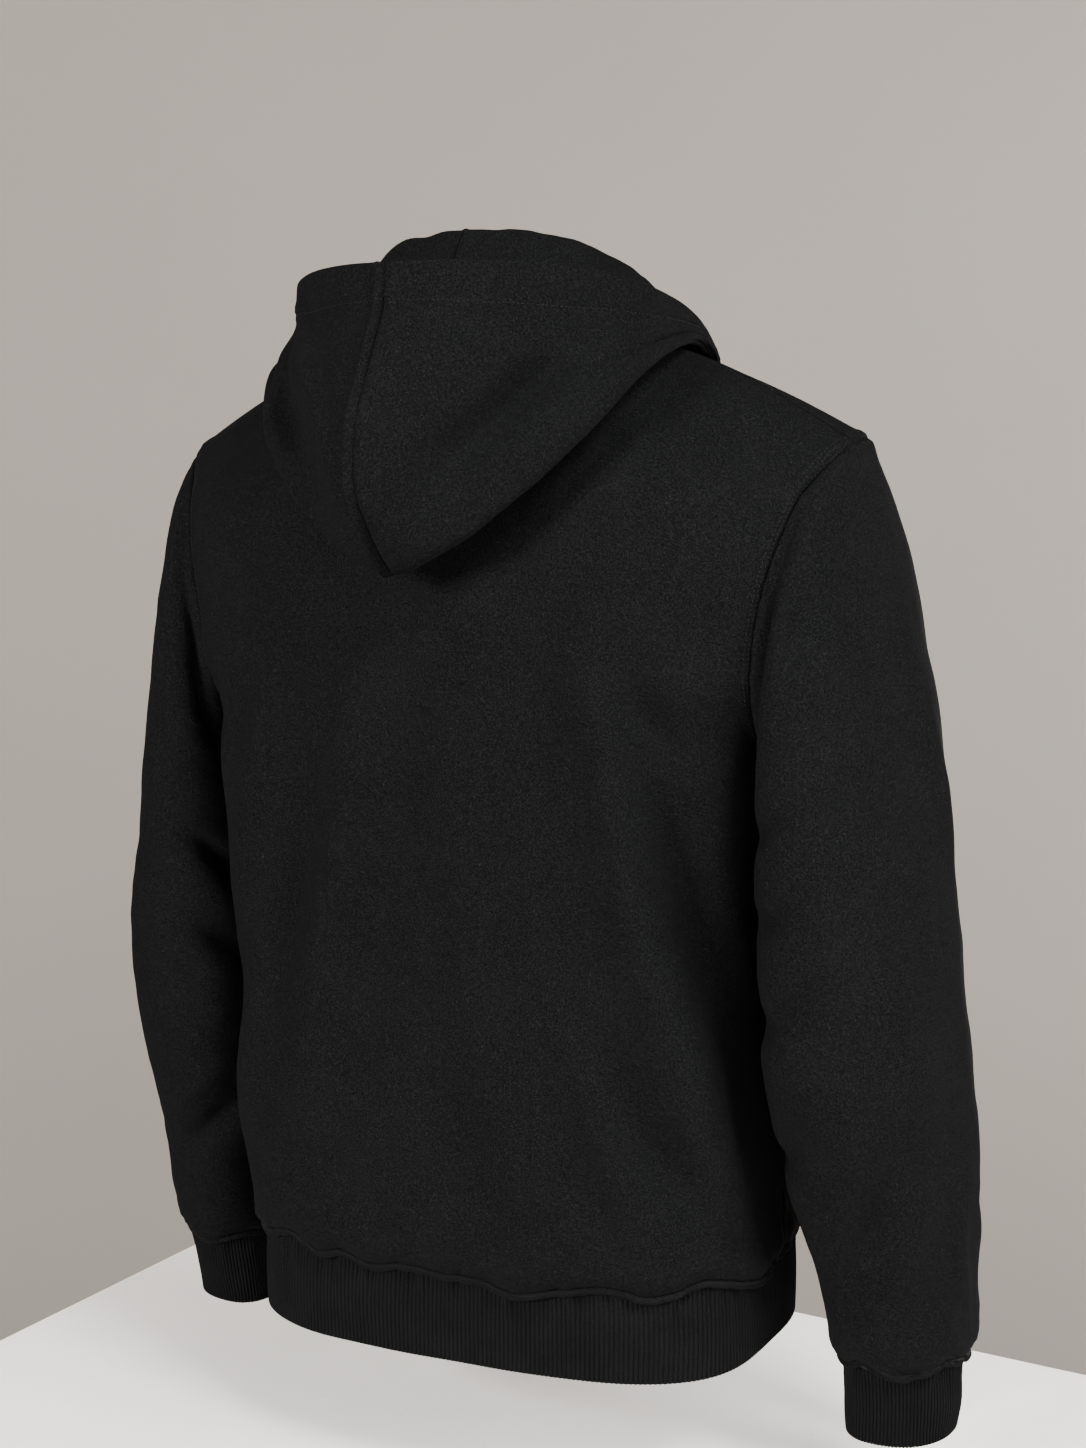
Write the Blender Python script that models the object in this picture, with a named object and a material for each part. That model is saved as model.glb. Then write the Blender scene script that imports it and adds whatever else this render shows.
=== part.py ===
"""A hooded, zip-fronted fleece sweatshirt, holding the shape it has when it is worn with its hood down.

Axes, in metres: +X is the wearer's left, -Y is the front, +Z is up. The origin is the middle of the
wearer's shoulders, level with the shoulder seams' outer ends, where the wearer holds the garment up.

Every cut piece is a wall of cloth on a grid of points. A grid is lofted through a few named sections,
and pieces that are sewn together share the points of their seam, each drawn back by half of the gap.
"""

import math

import bmesh
import bpy
import numpy as np
from mathutils import Matrix, Vector

# ---------------------------------------------------------------- driving dimensions, in metres
CLOTH = 0.0022  # thickness of the brushed fleece
RIB = 0.0026  # thickness of the ribbed cuffs and waistband
TAPE = 0.0010  # thickness of the zip's tapes
SEAM_GAP = 0.0003  # between two pieces along a seam
ZIP_HALF = 0.0052  # from the middle of the zip to a front's edge
TAPE_HALF = 0.0019  # from the middle of the zip to a tape's edge
TAPE_WIDTH = 0.0130
TAPE_DEPTH = 0.0022  # the middle of a tape lies this far inside the middle of the cloth
TAPE_END = 0.0030  # the tapes stop this far short of the neck seam

# ---------------------------------------------------------------- the zip's slider and pull tab
SLIDER_DROP = 0.030  # from the neck seam down to the slider's middle
SLIDER_HALF_WIDTH = 0.0046
SLIDER_HALF_LENGTH = 0.0058
PLATE_INNER = 0.0017  # from the middle of the tapes to a plate
PLATE = 0.0010
POST_HALF_WIDTH = 0.0012
POST_HALF_LENGTH = 0.0015
CROWN_INNER = 0.0027  # half of the length of the opening that the pull's bar turns in
CROWN_OUTER = 0.0038
CROWN_RISE = 0.0024  # height of that opening
CROWN = 0.0010
PULL_AXIS = PLATE_INNER + PLATE + 0.0012  # the turning axis, out from the middle of the tapes
PULL_THICKNESS = 0.0012
PULL_EYE_HALF = 0.0016
PULL_ARM = 0.0013
PULL_EYE_LENGTH = 0.0050
PULL_NECK = 0.0030  # below the eye, before the tab widens
PULL_SHOULDER = 0.0110  # from the axis down to the tab's full width
PULL_HALF_WIDTH = 0.0036
PULL_LENGTH = 0.0280

# ---------------------------------------------------------------- how finely the cloth is divided
NECK_BACK = 5  # columns of the half back along the neckline
NECK_FRONT = 6  # columns of a front along the neckline
SHOULDER = 4  # columns along a shoulder seam
BELOW = 9  # rows from the hem to the armpit
ABOVE = 9  # rows from the armpit to the shoulder seam
SLEEVE_ROWS = 16
SECTION_POINTS = 60  # points that a section is worked out at before it is divided
RING_POINTS = 60
FINE_ROWS = 400  # rows that a panel is worked out at before it is divided
HOOD_ROWS = (2, 2, 2, 1, 1, 1, 2, 1, 1)  # rows between one named line of the hood and the next

# ---------------------------------------------------------------- the body's sections
# A section runs from the middle of the back or front out to the side seam, which they share.
# The cell next to the side seam is so many times as wide as the others, which takes up the width that
# the armhole cuts away above it.
BODY_COLUMNS = ("side_x", "side_y", "z", "back_y", "front_y", "side_cell")
BODY_SECTIONS = {
    "hem": (0.1860, -0.018, -0.560, 0.097, -0.134, 1.0),
    "roll": (0.1905, -0.017, -0.542, 0.106, -0.143, 1.0),
    "hip": (0.1945, -0.015, -0.497, 0.109, -0.144, 1.0),
    "low_waist": (0.1970, -0.013, -0.437, 0.109, -0.140, 1.1),
    "waist": (0.1950, -0.010, -0.372, 0.109, -0.134, 1.3),
    "ribs": (0.1900, -0.007, -0.308, 0.113, -0.129, 1.8),
    "chest": (0.1935, -0.006, -0.256, 0.119, -0.127, 2.4),
    "armpit": (0.2005, -0.006, -0.217, 0.123, -0.125, 2.9),
}
# Above the armpit a section ends on the armhole, which turns less than a quarter of the way round.
YOKE_COLUMNS = ("edge_x", "edge_y", "edge_z", "mid_y", "mid_z", "turn")
BACK_YOKE = {
    "low": (0.2000, 0.042, -0.200, 0.126, -0.186, 78),
    "underarm": (0.2010, 0.072, -0.165, 0.127, -0.150, 68),
    "blade": (0.2055, 0.077, -0.122, 0.126, -0.108, 60),
    "across": (0.2140, 0.074, -0.083, 0.122, -0.068, 56),
    "upper": (0.2225, 0.062, -0.053, 0.116, -0.036, 56),
}
FRONT_YOKE = {
    "low": (0.1995, -0.036, -0.203, -0.124, -0.198, 78),
    "underarm": (0.2000, -0.056, -0.172, -0.123, -0.172, 68),
    "chest": (0.2045, -0.064, -0.132, -0.122, -0.143, 60),
    "across": (0.2140, -0.063, -0.091, -0.119, -0.112, 56),
    "upper": (0.2300, -0.050, -0.052, -0.112, -0.082, 56),
}
# Close to the top a section follows the neckline and the shoulder: a point on the middle, one below
# the neck's side and one on the armhole. Its corner is eased so many times.
CREST_COLUMNS = (
    "mid_y", "mid_z", "side_x", "side_y", "side_z", "edge_x", "edge_y", "edge_z", "easing"
)
BACK_CREST = {
    "below": (0.105, -0.002, 0.112, 0.076, 0.018, 0.2310, 0.049, -0.034, 3),
    "near": (0.092, 0.019, 0.097, 0.046, 0.046, 0.2400, 0.034, -0.020, 1),
}
FRONT_CREST = {
    "below": (-0.106, -0.060, 0.110, -0.062, 0.016, 0.2420, -0.028, -0.025, 3),
    "near": (-0.101, -0.048, 0.097, -0.026, 0.049, 0.2470, -0.004, -0.008, 1),
}
SQUARENESS = 3.3  # of the body's sections: 2 is an ellipse

# The top of a body piece: the neckline, then the shoulder seam.
NECK_MID_BACK = (0.0, 0.080, 0.038)
NECK_SIDE = (0.086, 0.012, 0.061)
NECK_MID_FRONT = (ZIP_HALF, -0.097, -0.036)
SHOULDER_END = (0.2450, 0.018, -0.011)
SHOULDER_DROP = 0.55  # the share of the shoulder's fall that is even, and the rest steepens outwards
TILT_FROM = -0.35  # the height where the body starts to hang unevenly
TILT_OVER = 0.20  # and the height over which that comes in
HEM_TILT = 0.040  # the hem hangs this much lower towards the wearer's left, per metre across

# ---------------------------------------------------------------- the sleeve's sections
# Each is a ring between its inner and its outer end, as deep from front to back as it says. Its back
# leans in towards the body by a share of that depth.
SLEEVE_SQUARENESS = 2.15
SLEEVE_COLUMNS = ("in_x", "in_z", "out_x", "out_z", "y", "half_depth", "lean")
SLEEVE_SECTIONS = {
    "head": (0.2030, -0.2215, 0.2520, -0.034, 0.004, 0.082, 0.10),
    "cap": (0.2050, -0.2280, 0.2645, -0.086, 0.003, 0.086, 0.14),
    "upper_arm": (0.2040, -0.2430, 0.2770, -0.152, 0.004, 0.086, 0.16),
    "biceps": (0.2000, -0.2700, 0.2890, -0.224, 0.004, 0.085, 0.15),
    "above_elbow": (0.1985, -0.3120, 0.2980, -0.292, 0.001, 0.083, 0.14),
    "elbow": (0.2005, -0.3670, 0.3065, -0.358, 0.000, 0.081, 0.17),
    "below_elbow": (0.2040, -0.4270, 0.3125, -0.426, -0.006, 0.077, 0.19),
    "forearm": (0.2110, -0.4920, 0.3160, -0.492, -0.022, 0.069, 0.18),
    "low_forearm": (0.2240, -0.5540, 0.3155, -0.554, -0.036, 0.061, 0.15),
    "fall": (0.2320, -0.5950, 0.3130, -0.595, -0.041, 0.053, 0.15),
    "cuff_seam": (0.2390, -0.6120, 0.3070, -0.612, -0.040, 0.038, 0.20),
}
CUFF_SECTIONS = {
    "cuff_seam": SLEEVE_SECTIONS["cuff_seam"],
    "cuff_middle": (0.2385, -0.6420, 0.3055, -0.642, -0.045, 0.037, 0.20),
    "cuff_end": (0.2380, -0.6720, 0.3030, -0.671, -0.049, 0.0365, 0.20),
}

# ---------------------------------------------------------------- the waistband's sections
WAISTBAND_SECTIONS = {
    "seam": BODY_SECTIONS["hem"],
    "middle": (0.1880, -0.018, -0.590, 0.099, -0.136, 1.0),
    "end": (0.1870, -0.018, -0.622, 0.098, -0.135, 1.0),
}

# ---------------------------------------------------------------- the hood's lines
# Each line runs along a half of the hood, from the centre seam at the back to the zip at the front.
HOOD_STATIONS = ("seam", "nape", "back", "corner", "rear", "side", "shoulder", "throat", "zip")
HOOD_LINES = {
    # from the neck seam the cloth stands up to a ridge round the neck
    "ridge": {
        "seam": (0.000, 0.0665, 0.1240), "nape": (0.030, 0.063, 0.1225),
        "back": (0.055, 0.056, 0.1190), "corner": (0.074, 0.043, 0.1130),
        "rear": (0.088, 0.022, 0.1050), "side": (0.094, -0.006, 0.0950),
        "shoulder": (0.092, -0.045, 0.066), "throat": (0.064, -0.088, 0.018),
        "zip": (ZIP_HALF, -0.105, -0.026),
    },
    # then turns down behind it as the front wall of the pouch
    "front_wall": {
        "seam": (0.000, 0.112, 0.045), "nape": (0.031, 0.108, 0.046),
        "back": (0.059, 0.099, 0.052), "corner": (0.083, 0.083, 0.060),
        "rear": (0.101, 0.056, 0.068), "side": (0.108, 0.022, 0.072),
        "shoulder": (0.106, -0.032, 0.062), "throat": (0.072, -0.095, 0.016),
        "zip": (ZIP_HALF, -0.108, -0.023),
    },
    "bottom": {
        "seam": (0.000, 0.139, -0.068), "nape": (0.028, 0.139, -0.060),
        "back": (0.055, 0.134, -0.042), "corner": (0.081, 0.122, -0.018),
        "rear": (0.105, 0.102, 0.008), "side": (0.121, 0.064, 0.043),
        "shoulder": (0.120, 0.000, 0.055), "throat": (0.080, -0.098, 0.015),
        "zip": (ZIP_HALF, -0.110, -0.021),
    },
    # the lowest and outermost edge of the pouch
    "edge": {
        "seam": (0.000, 0.1650, -0.0905), "nape": (0.030, 0.167, -0.0795),
        "back": (0.060, 0.160, -0.0620), "corner": (0.088, 0.147, -0.0360),
        "rear": (0.1160, 0.124, -0.0040), "side": (0.1360, 0.084, 0.0340),
        "shoulder": (0.1345, 0.014, 0.0530), "throat": (0.088, -0.100, 0.014),
        "zip": (ZIP_HALF, -0.112, -0.019),
    },
    # and from there the outer face climbs back to the face opening
    "belly": {
        "seam": (0.000, 0.203, -0.0460), "nape": (0.028, 0.187, -0.045),
        "back": (0.056, 0.170, -0.036), "corner": (0.085, 0.153, -0.018),
        "rear": (0.1140, 0.129, 0.006), "side": (0.1350, 0.087, 0.039),
        "shoulder": (0.1365, 0.015, 0.0545), "throat": (0.092, -0.101, 0.013),
        "zip": (ZIP_HALF, -0.113, -0.017),
    },
    "face_low": {
        "seam": (0.000, 0.2057, -0.0107), "nape": (0.030, 0.187, -0.012),
        "back": (0.056, 0.170, -0.008), "corner": (0.084, 0.147, 0.004),
        "rear": (0.1140, 0.121, 0.022), "side": (0.1350, 0.083, 0.045),
        "shoulder": (0.1375, 0.013, 0.0560), "throat": (0.095, -0.101, 0.011),
        "zip": (ZIP_HALF, -0.114, -0.015),
    },
    "face_high": {
        "seam": (0.000, 0.187, 0.0370), "nape": (0.030, 0.173, 0.036),
        "back": (0.057, 0.157, 0.037), "corner": (0.085, 0.134, 0.042),
        "rear": (0.1130, 0.107, 0.048), "side": (0.1330, 0.072, 0.055),
        "shoulder": (0.1375, 0.009, 0.0590), "throat": (0.098, -0.100, 0.009),
        "zip": (ZIP_HALF, -0.115, -0.013),
    },
    "hem_line": {
        "seam": (0.000, 0.170, 0.0730), "nape": (0.030, 0.159, 0.0725),
        "back": (0.058, 0.144, 0.0715), "corner": (0.085, 0.123, 0.0700),
        "rear": (0.1100, 0.097, 0.069), "side": (0.1290, 0.062, 0.0660),
        "shoulder": (0.1360, 0.005, 0.0620), "throat": (0.100, -0.098, 0.006),
        "zip": (ZIP_HALF, -0.116, -0.011),
    },
    "rim": {
        "seam": (0.000, 0.1665, 0.0955), "nape": (0.030, 0.156, 0.0965),
        "back": (0.058, 0.141, 0.0965), "corner": (0.084, 0.121, 0.0955),
        "rear": (0.1090, 0.094, 0.0920), "side": (0.1260, 0.057, 0.0840),
        "shoulder": (0.1330, 0.000, 0.0680), "throat": (0.101, -0.095, 0.004),
        "zip": (ZIP_HALF, -0.116, -0.008),
    },
}

# ---------------------------------------------------------------- the largest folds
# Each runs from one place on its piece to another, in shares of the piece from its first column and
# its lowest row. A fold's height is how far it stands out of the cloth, or below it when negative.
FOLD_FADE = 0.11  # the share of a piece, in from each seam, over which its folds fade out
FOLD_END = 0.35  # the share of its height that a fold keeps at its ends
FOLD_COLUMNS = ("from_across", "from_up", "to_across", "to_up", "half_width", "height")
FOLDS = {
    "back": {
        "right_blade": (0.16, 0.66, 0.10, 0.20, 0.030, -0.0070),
        "right_flank": (0.27, 0.52, 0.20, 0.08, 0.028, 0.0050),
        "middle": (0.58, 0.45, 0.60, 0.08, 0.034, -0.0045),
        "left_flank": (0.86, 0.56, 0.88, 0.28, 0.018, 0.0060),
        "left_hip": (0.80, 0.26, 0.88, 0.05, 0.020, 0.0050),
    },
    "front": {
        "side_fall": (0.25, 0.55, 0.30, 0.10, 0.026, -0.0055),
        "chest_fall": (0.62, 0.50, 0.60, 0.10, 0.030, 0.0045),
    },
    "sleeve": {
        "inner_elbow": (0.10, 0.52, 0.36, 0.46, 0.016, -0.0055),
        "above_cuff": (0.08, 0.16, 0.42, 0.24, 0.016, -0.0050),
        "outer_ridge": (0.36, 0.62, 0.40, 0.30, 0.020, 0.0025),
        "front_elbow": (0.72, 0.50, 0.92, 0.44, 0.018, -0.0060),
    },
    "hood": {
        "pouch_trough": (0.10, 0.66, 0.52, 0.84, 0.016, -0.0090),
    },
}


# ---------------------------------------------------------------- curves and sections
def rows_of(table, columns):
    """The rows of a table, with each value under its column's name."""
    return [dict(zip(columns, row)) for row in table.values()]


def lengths(line):
    """The distance along a line of points, from 0 to its whole length."""
    steps = np.linalg.norm(np.diff(line, axis=0), axis=1)
    return np.concatenate([[0.0], np.cumsum(steps)])


def spaced(line, segments, last=1.0):
    """The same line with its points spaced evenly, but for a last step that many times as long."""
    along = lengths(line)
    steps = np.append(np.ones(segments - 1), last)
    wanted = np.concatenate([[0.0], np.cumsum(steps)]) * along[-1] / steps.sum()
    return np.stack([np.interp(wanted, along, line[:, k]) for k in range(3)], axis=1)


def loft(sections, segments):
    """A smooth surface through sections, each an equal number of points.

    Its rows are spaced evenly, or there are so many between each section and the next.
    """
    sections = np.asarray(sections, float)
    steps = np.linalg.norm(np.diff(sections, axis=0), axis=2).mean(axis=1)
    knots = np.concatenate([[0.0], np.cumsum(steps)])
    slopes = np.gradient(sections, knots, axis=0)
    if isinstance(segments, int):
        at = np.linspace(0.0, knots[-1], segments + 1)
    else:
        marks = np.concatenate([[0], np.cumsum(segments)])
        at = np.interp(np.arange(marks[-1] + 1), marks, knots)
    i = np.clip(np.searchsorted(knots, at, side="right") - 1, 0, len(knots) - 2)
    step = (knots[i + 1] - knots[i])[:, None, None]
    f = ((at - knots[i]) / (knots[i + 1] - knots[i]))[:, None, None]
    return (
        (1 + 2 * f) * (1 - f) ** 2 * sections[i]
        + f * (1 - f) ** 2 * step * slopes[i]
        + f**2 * (3 - 2 * f) * sections[i + 1]
        - f**2 * (1 - f) * step * slopes[i + 1]
    )


def half_section(middle, edge, turn, segments, last=1.0):
    """A rounded line from the middle of the back or front out to a side seam or an armhole.

    It leaves the middle squarely, and at the edge it has turned by so many degrees of a quarter.
    """
    angle = np.radians(np.linspace(0.0, turn, SECTION_POINTS))
    across = np.sin(angle) ** (2 / SQUARENESS)
    deep = np.cos(angle) ** (2 / SQUARENESS)
    across = across / across[-1]
    deep = (deep - deep[-1]) / (1 - deep[-1])
    x = middle[0] + (edge[0] - middle[0]) * across
    y = edge[1] + (middle[1] - edge[1]) * deep
    z = middle[2] + (edge[2] - middle[2]) * across**2
    return spaced(np.stack([x, y, z], axis=1), segments, last)


def top_edge(middle, side, edge, neck_segments):
    """A line round the neck from the middle to the neck's side, and then out along the shoulder."""
    angle = np.linspace(0.0, math.pi / 2, SECTION_POINTS)
    neck = np.stack([
        middle[0] + (side[0] - middle[0]) * np.sin(angle),
        side[1] + (middle[1] - side[1]) * np.cos(angle),
        side[2] + (middle[2] - side[2]) * np.cos(angle) ** 1.5,
    ], axis=1)
    share = np.linspace(0.0, 1.0, SHOULDER + 1)[1:, None]
    fall = SHOULDER_DROP * share + (1 - SHOULDER_DROP) * share**2
    side, edge = np.array(side), np.array(edge)
    seam = side + (edge - side) * np.concatenate([share, share, fall], axis=1)
    return np.concatenate([spaced(neck, neck_segments), seam])


def eased(line, times):
    """The line with its corners rounded, and its ends where they were."""
    line = line.copy()
    for _ in range(times):
        line[1:-1] = (line[:-2] + 2 * line[1:-1] + line[2:]) / 4
    return line


# ---------------------------------------------------------------- the pieces' surfaces
def body_grid(depth, yoke, crest, neck_middle, neck_segments):
    """Half of the back, or a front: rows from the hem up, columns from the middle outwards."""
    columns = neck_segments + SHOULDER
    middle_x = neck_middle[0]
    below = body_rows(BODY_SECTIONS, depth, middle_x, columns)
    above = []
    for row in rows_of(yoke, YOKE_COLUMNS):
        middle = (middle_x, row["mid_y"], row["mid_z"])
        edge = (row["edge_x"], row["edge_y"], row["edge_z"])
        above.append(half_section(middle, edge, row["turn"], columns))
    near_top = []
    for row in rows_of(crest, CREST_COLUMNS):
        middle = (middle_x, row["mid_y"], row["mid_z"])
        side = (row["side_x"], row["side_y"], row["side_z"])
        edge = (row["edge_x"], row["edge_y"], row["edge_z"])
        near_top.append(eased(top_edge(middle, side, edge, neck_segments), row["easing"]))
    top = top_edge(neck_middle, NECK_SIDE, SHOULDER_END, neck_segments)
    fine = loft(below + above + near_top + [top], FINE_ROWS)
    # one row lies on the armpit, where the side seam ends and the armhole starts
    armpit = np.argmin(np.linalg.norm(fine[:, -1] - below[-1][-1], axis=1))
    rows = np.concatenate([
        np.linspace(0, armpit, BELOW + 1),
        np.linspace(armpit, len(fine) - 1, ABOVE + 1)[1:],
    ])
    return fine[np.round(rows).astype(int)]


def body_rows(sections, depth, middle_x, columns):
    """The half sections of the back or the front, or of the waistband below it."""
    return [
        half_section(
            (middle_x, row[depth], row["z"]),
            (row["side_x"], row["side_y"], row["z"]),
            90,
            columns,
            row["side_cell"],
        )
        for row in rows_of(sections, BODY_COLUMNS)
    ]


def ring(row, segments):
    """A sleeve's section: from the underarm seam round the back to the top, and on round the front."""
    half = segments // 2
    angle = np.linspace(0.0, 2 * math.pi, 2 * RING_POINTS + 1)
    outwards = -np.sign(np.cos(angle)) * np.abs(np.cos(angle)) ** (2 / SLEEVE_SQUARENESS)
    backwards = np.sign(np.sin(angle)) * np.abs(np.sin(angle)) ** (2 / SLEEVE_SQUARENESS)
    x = (row["in_x"] + row["out_x"] + (row["out_x"] - row["in_x"]) * outwards) / 2
    x -= row["lean"] * row["half_depth"] * backwards
    y = row["y"] + row["half_depth"] * backwards
    z = (row["in_z"] + row["out_z"] + (row["out_z"] - row["in_z"]) * outwards) / 2
    line = np.stack([x, y, z], axis=1)
    back, front = line[: RING_POINTS + 1], line[RING_POINTS:]
    return np.concatenate([spaced(back, half), spaced(front, half)[1:]])


def hood_grid(neck):
    """Half of the hood: rows from the neck seam to the face opening, columns from the back forwards."""
    seam = np.empty((2 * len(neck) - 1, 3))
    seam[0::2] = neck
    seam[1::2] = (neck[1:] + neck[:-1]) / 2
    columns = len(seam) - 1
    lines = [seam]
    for points in HOOD_LINES.values():
        stations = np.array([points[name] for name in HOOD_STATIONS])
        lines.append(loft(stations[:, None, :], columns)[:, 0])
    return loft(lines, HOOD_ROWS)


def folded(grid, folds, tube=False):
    """The grid with its folds, which fade out before they reach a seam."""
    rows, columns = grid.shape[:2]
    across, up = np.meshgrid(np.linspace(0, 1, columns), np.linspace(0, 1, rows))
    wide = lengths(grid[rows // 2])[-1]
    tall = lengths(grid[:, columns // 2])[-1]
    inside = np.clip(np.minimum(up, 1 - up) / FOLD_FADE, 0, 1)
    if not tube:
        inside = inside * np.clip(np.minimum(across, 1 - across) / FOLD_FADE, 0, 1)
    height = np.zeros((rows, columns))
    for fold in rows_of(folds, FOLD_COLUMNS):
        start = np.array([fold["from_across"] * wide, fold["from_up"] * tall])
        run = np.array([fold["to_across"] * wide, fold["to_up"] * tall]) - start
        at = np.stack([across * wide, up * tall], axis=2) - start
        share = np.clip((at @ run) / (run @ run), 0, 1)
        off = np.linalg.norm(at - share[..., None] * run, axis=2)
        profile = np.exp(-((off / fold["half_width"]) ** 2))
        height += fold["height"] * profile * (FOLD_END + (1 - FOLD_END) * np.sin(math.pi * share))
    return grid + normals(grid, tube) * (height * inside)[..., None]


def tilted(grid):
    """The lower body, hanging lower on the wearer's left."""
    share = np.clip((TILT_FROM - grid[..., 2]) / TILT_OVER, 0, 1)
    moved = grid.copy()
    moved[..., 2] -= HEM_TILT * grid[..., 0] * share
    return moved


def mirrored(grid):
    """The same surface on the wearer's other side, with its columns turned to face the same way."""
    return (grid * (-1, 1, 1))[:, ::-1]


def both_halves(half):
    """A whole piece from its left half, whose first column is on the middle."""
    return np.concatenate([mirrored(half), half[:, 1:]], axis=1)


# ---------------------------------------------------------------- walls of cloth
def steps_across(grid, tube):
    """How the points of each row move on from one column to the next."""
    if tube:
        wrapped = np.concatenate([grid[:, -2:-1], grid, grid[:, 1:2]], axis=1)
        return (wrapped[:, 2:] - wrapped[:, :-2]) / 2
    return np.gradient(grid, axis=1)


def normals(grid, tube):
    """The direction out of the cloth at each point of a grid."""
    return unit(np.cross(np.gradient(grid, axis=0), steps_across(grid, tube)))


def unit(vectors):
    return vectors / np.linalg.norm(vectors, axis=-1, keepdims=True)


def share_seams(grids, outs):
    """Gives pieces that meet at a point one direction of thickness there, so that their walls mitre."""
    totals = {}
    for name, grid in grids.items():
        for r, c in edge_cells(grid):
            key = tuple(np.round(grid[r, c], 5))
            totals[key] = totals.get(key, 0) + outs[name][r, c]
    for name, grid in grids.items():
        for r, c in edge_cells(grid):
            outs[name][r, c] = unit(totals[tuple(np.round(grid[r, c], 5))])
    # between two points of the neck seam, the hood's own point goes the way of both
    for name in ("hood_left", "hood_right"):
        seam = outs[name][0]
        seam[1::2] = unit(seam[:-1:2] + seam[2::2])


def edge_cells(grid):
    rows, columns = grid.shape[:2]
    return [
        (r, c)
        for r in range(rows)
        for c in range(columns)
        if r in (0, rows - 1) or c in (0, columns - 1)
    ]


def drawn_back(grid, out, tube):
    """The grid with its edges drawn back by half a seam gap, along the cloth."""
    moved = grid.copy()
    across = steps_across(grid, tube)
    up = np.gradient(grid, axis=0)
    for edge, inner in ((0, 1), (-1, -2)):
        moved[edge] += towards(grid[inner] - grid[edge], across[edge], out[edge]) * SEAM_GAP / 2
        if not tube:
            side = towards(grid[:, inner] - grid[:, edge], up[:, edge], out[:, edge])
            moved[:, edge] += side * SEAM_GAP / 2
    return moved


def towards(inner, along, out):
    """The directions in the cloth and square to its edge, on the side of its inner points."""
    side = unit(np.cross(along, out))
    return side * np.sign((inner * side).sum(axis=1))[:, None]


def material(name, colour, roughness, metallic=0.0):
    made = bpy.data.materials.new(name)
    made.use_nodes = True
    shader = made.node_tree.nodes["Principled BSDF"]
    shader.inputs["Base Color"].default_value = (*colour, 1.0)
    shader.inputs["Roughness"].default_value = roughness
    shader.inputs["Metallic"].default_value = metallic
    return made


def add_object(name, bm, finish):
    mesh = bpy.data.meshes.new(name)
    bm.to_mesh(mesh)
    bm.free()
    mesh.materials.append(finish)
    mesh.shade_smooth()
    mesh.set_sharp_from_angle(angle=math.radians(50))
    made = bpy.data.objects.new(name, mesh)
    bpy.context.collection.objects.link(made)
    return made


def wall(name, grid, out, thickness, tube, finish):
    """A closed wall of cloth, half of its thickness on each side of the grid."""
    rows, columns = grid.shape[:2]
    bm = bmesh.new()
    bmesh.ops.create_grid(bm, x_segments=columns - 1, y_segments=rows - 1, size=1.0)
    number = bm.verts.layers.int.new("number")
    inner = (grid - out * thickness / 2).reshape(-1, 3)
    outer = (grid + out * thickness / 2).reshape(-1, 3)
    for k, vertex in enumerate(bm.verts):
        vertex[number] = k
        vertex.co = inner[k]
    if tube:
        bmesh.ops.remove_doubles(bm, verts=bm.verts[:], dist=1e-6)
    grown = bmesh.ops.extrude_face_region(bm, geom=bm.faces[:])["geom"]
    for vertex in grown:
        if isinstance(vertex, bmesh.types.BMVert):
            vertex.co = outer[vertex[number]]
    bmesh.ops.triangulate(bm, faces=bm.faces[:], quad_method="SHORT_EDGE")
    bmesh.ops.recalc_face_normals(bm, faces=bm.faces[:])
    return add_object(name, bm, finish)


# ---------------------------------------------------------------- the zip
def tape_grid(panel, band):
    """The tape inside one front's edge, which is the last column of the panel and of its waistband."""
    joined = np.concatenate([band[:-1, -2:], panel[:, -2:]])
    edge = joined[:, 1]
    across = unit(edge - joined[:, 0])
    up = unit(np.gradient(edge, axis=0))
    out = unit(np.cross(up, across))
    reaches = (TAPE_WIDTH - ZIP_HALF + TAPE_HALF, TAPE_WIDTH / 3, TAPE_HALF - ZIP_HALF)
    grid = np.stack([edge - across * reach - out * TAPE_DEPTH for reach in reaches], axis=1)
    grid[-1] -= up[-1] * TAPE_END
    return grid


def zip_frame(panel):
    """Where the slider sits, as a matrix: X across, Y up the zip, Z out of the cloth."""
    edge = panel[:, -1]
    along = lengths(edge)
    at = along[-1] - SLIDER_DROP
    reach = (at - PULL_LENGTH, at, at + SLIDER_HALF_LENGTH)
    below, here, above = np.stack([np.interp(reach, along, edge[:, k]) for k in range(3)], axis=1)
    up = unit((above - below) * (0, 1, 1))
    across = np.array([1.0, 0.0, 0.0])
    out = np.cross(across, up)
    origin = here * (0, 1, 1) - out * TAPE_DEPTH
    return Matrix((
        (across[0], up[0], out[0], origin[0]),
        (across[1], up[1], out[1], origin[1]),
        (across[2], up[2], out[2], origin[2]),
        (0.0, 0.0, 0.0, 1.0),
    ))


def cells(bm, xs, ys, base):
    """A flat sheet divided at these places."""
    bmesh.ops.create_grid(bm, x_segments=len(xs) - 1, y_segments=len(ys) - 1, size=1.0)
    for k, vertex in enumerate(bm.verts):
        vertex.co = (xs[k % len(xs)], ys[k // len(xs)], base)
    bm.normal_update()


def grow(bm, move, low, high):
    """Extrudes the faces that face along the move and have their middles between two corners."""
    direction = Vector(move).normalized()
    chosen = []
    for face in bm.faces:
        middle = face.calc_center_median()
        inside = all(low[k] <= middle[k] <= high[k] for k in range(3))
        if inside and face.normal.dot(direction) > 0.9:
            chosen.append(face)
    grown = bmesh.ops.extrude_face_region(bm, geom=chosen)["geom"]
    bmesh.ops.delete(bm, geom=chosen, context="FACES")
    moved = [g for g in grown if isinstance(g, bmesh.types.BMVert)]
    bmesh.ops.translate(bm, verts=moved, vec=move)
    bmesh.ops.recalc_face_normals(bm, faces=bm.faces[:])
    bm.normal_update()


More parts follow.
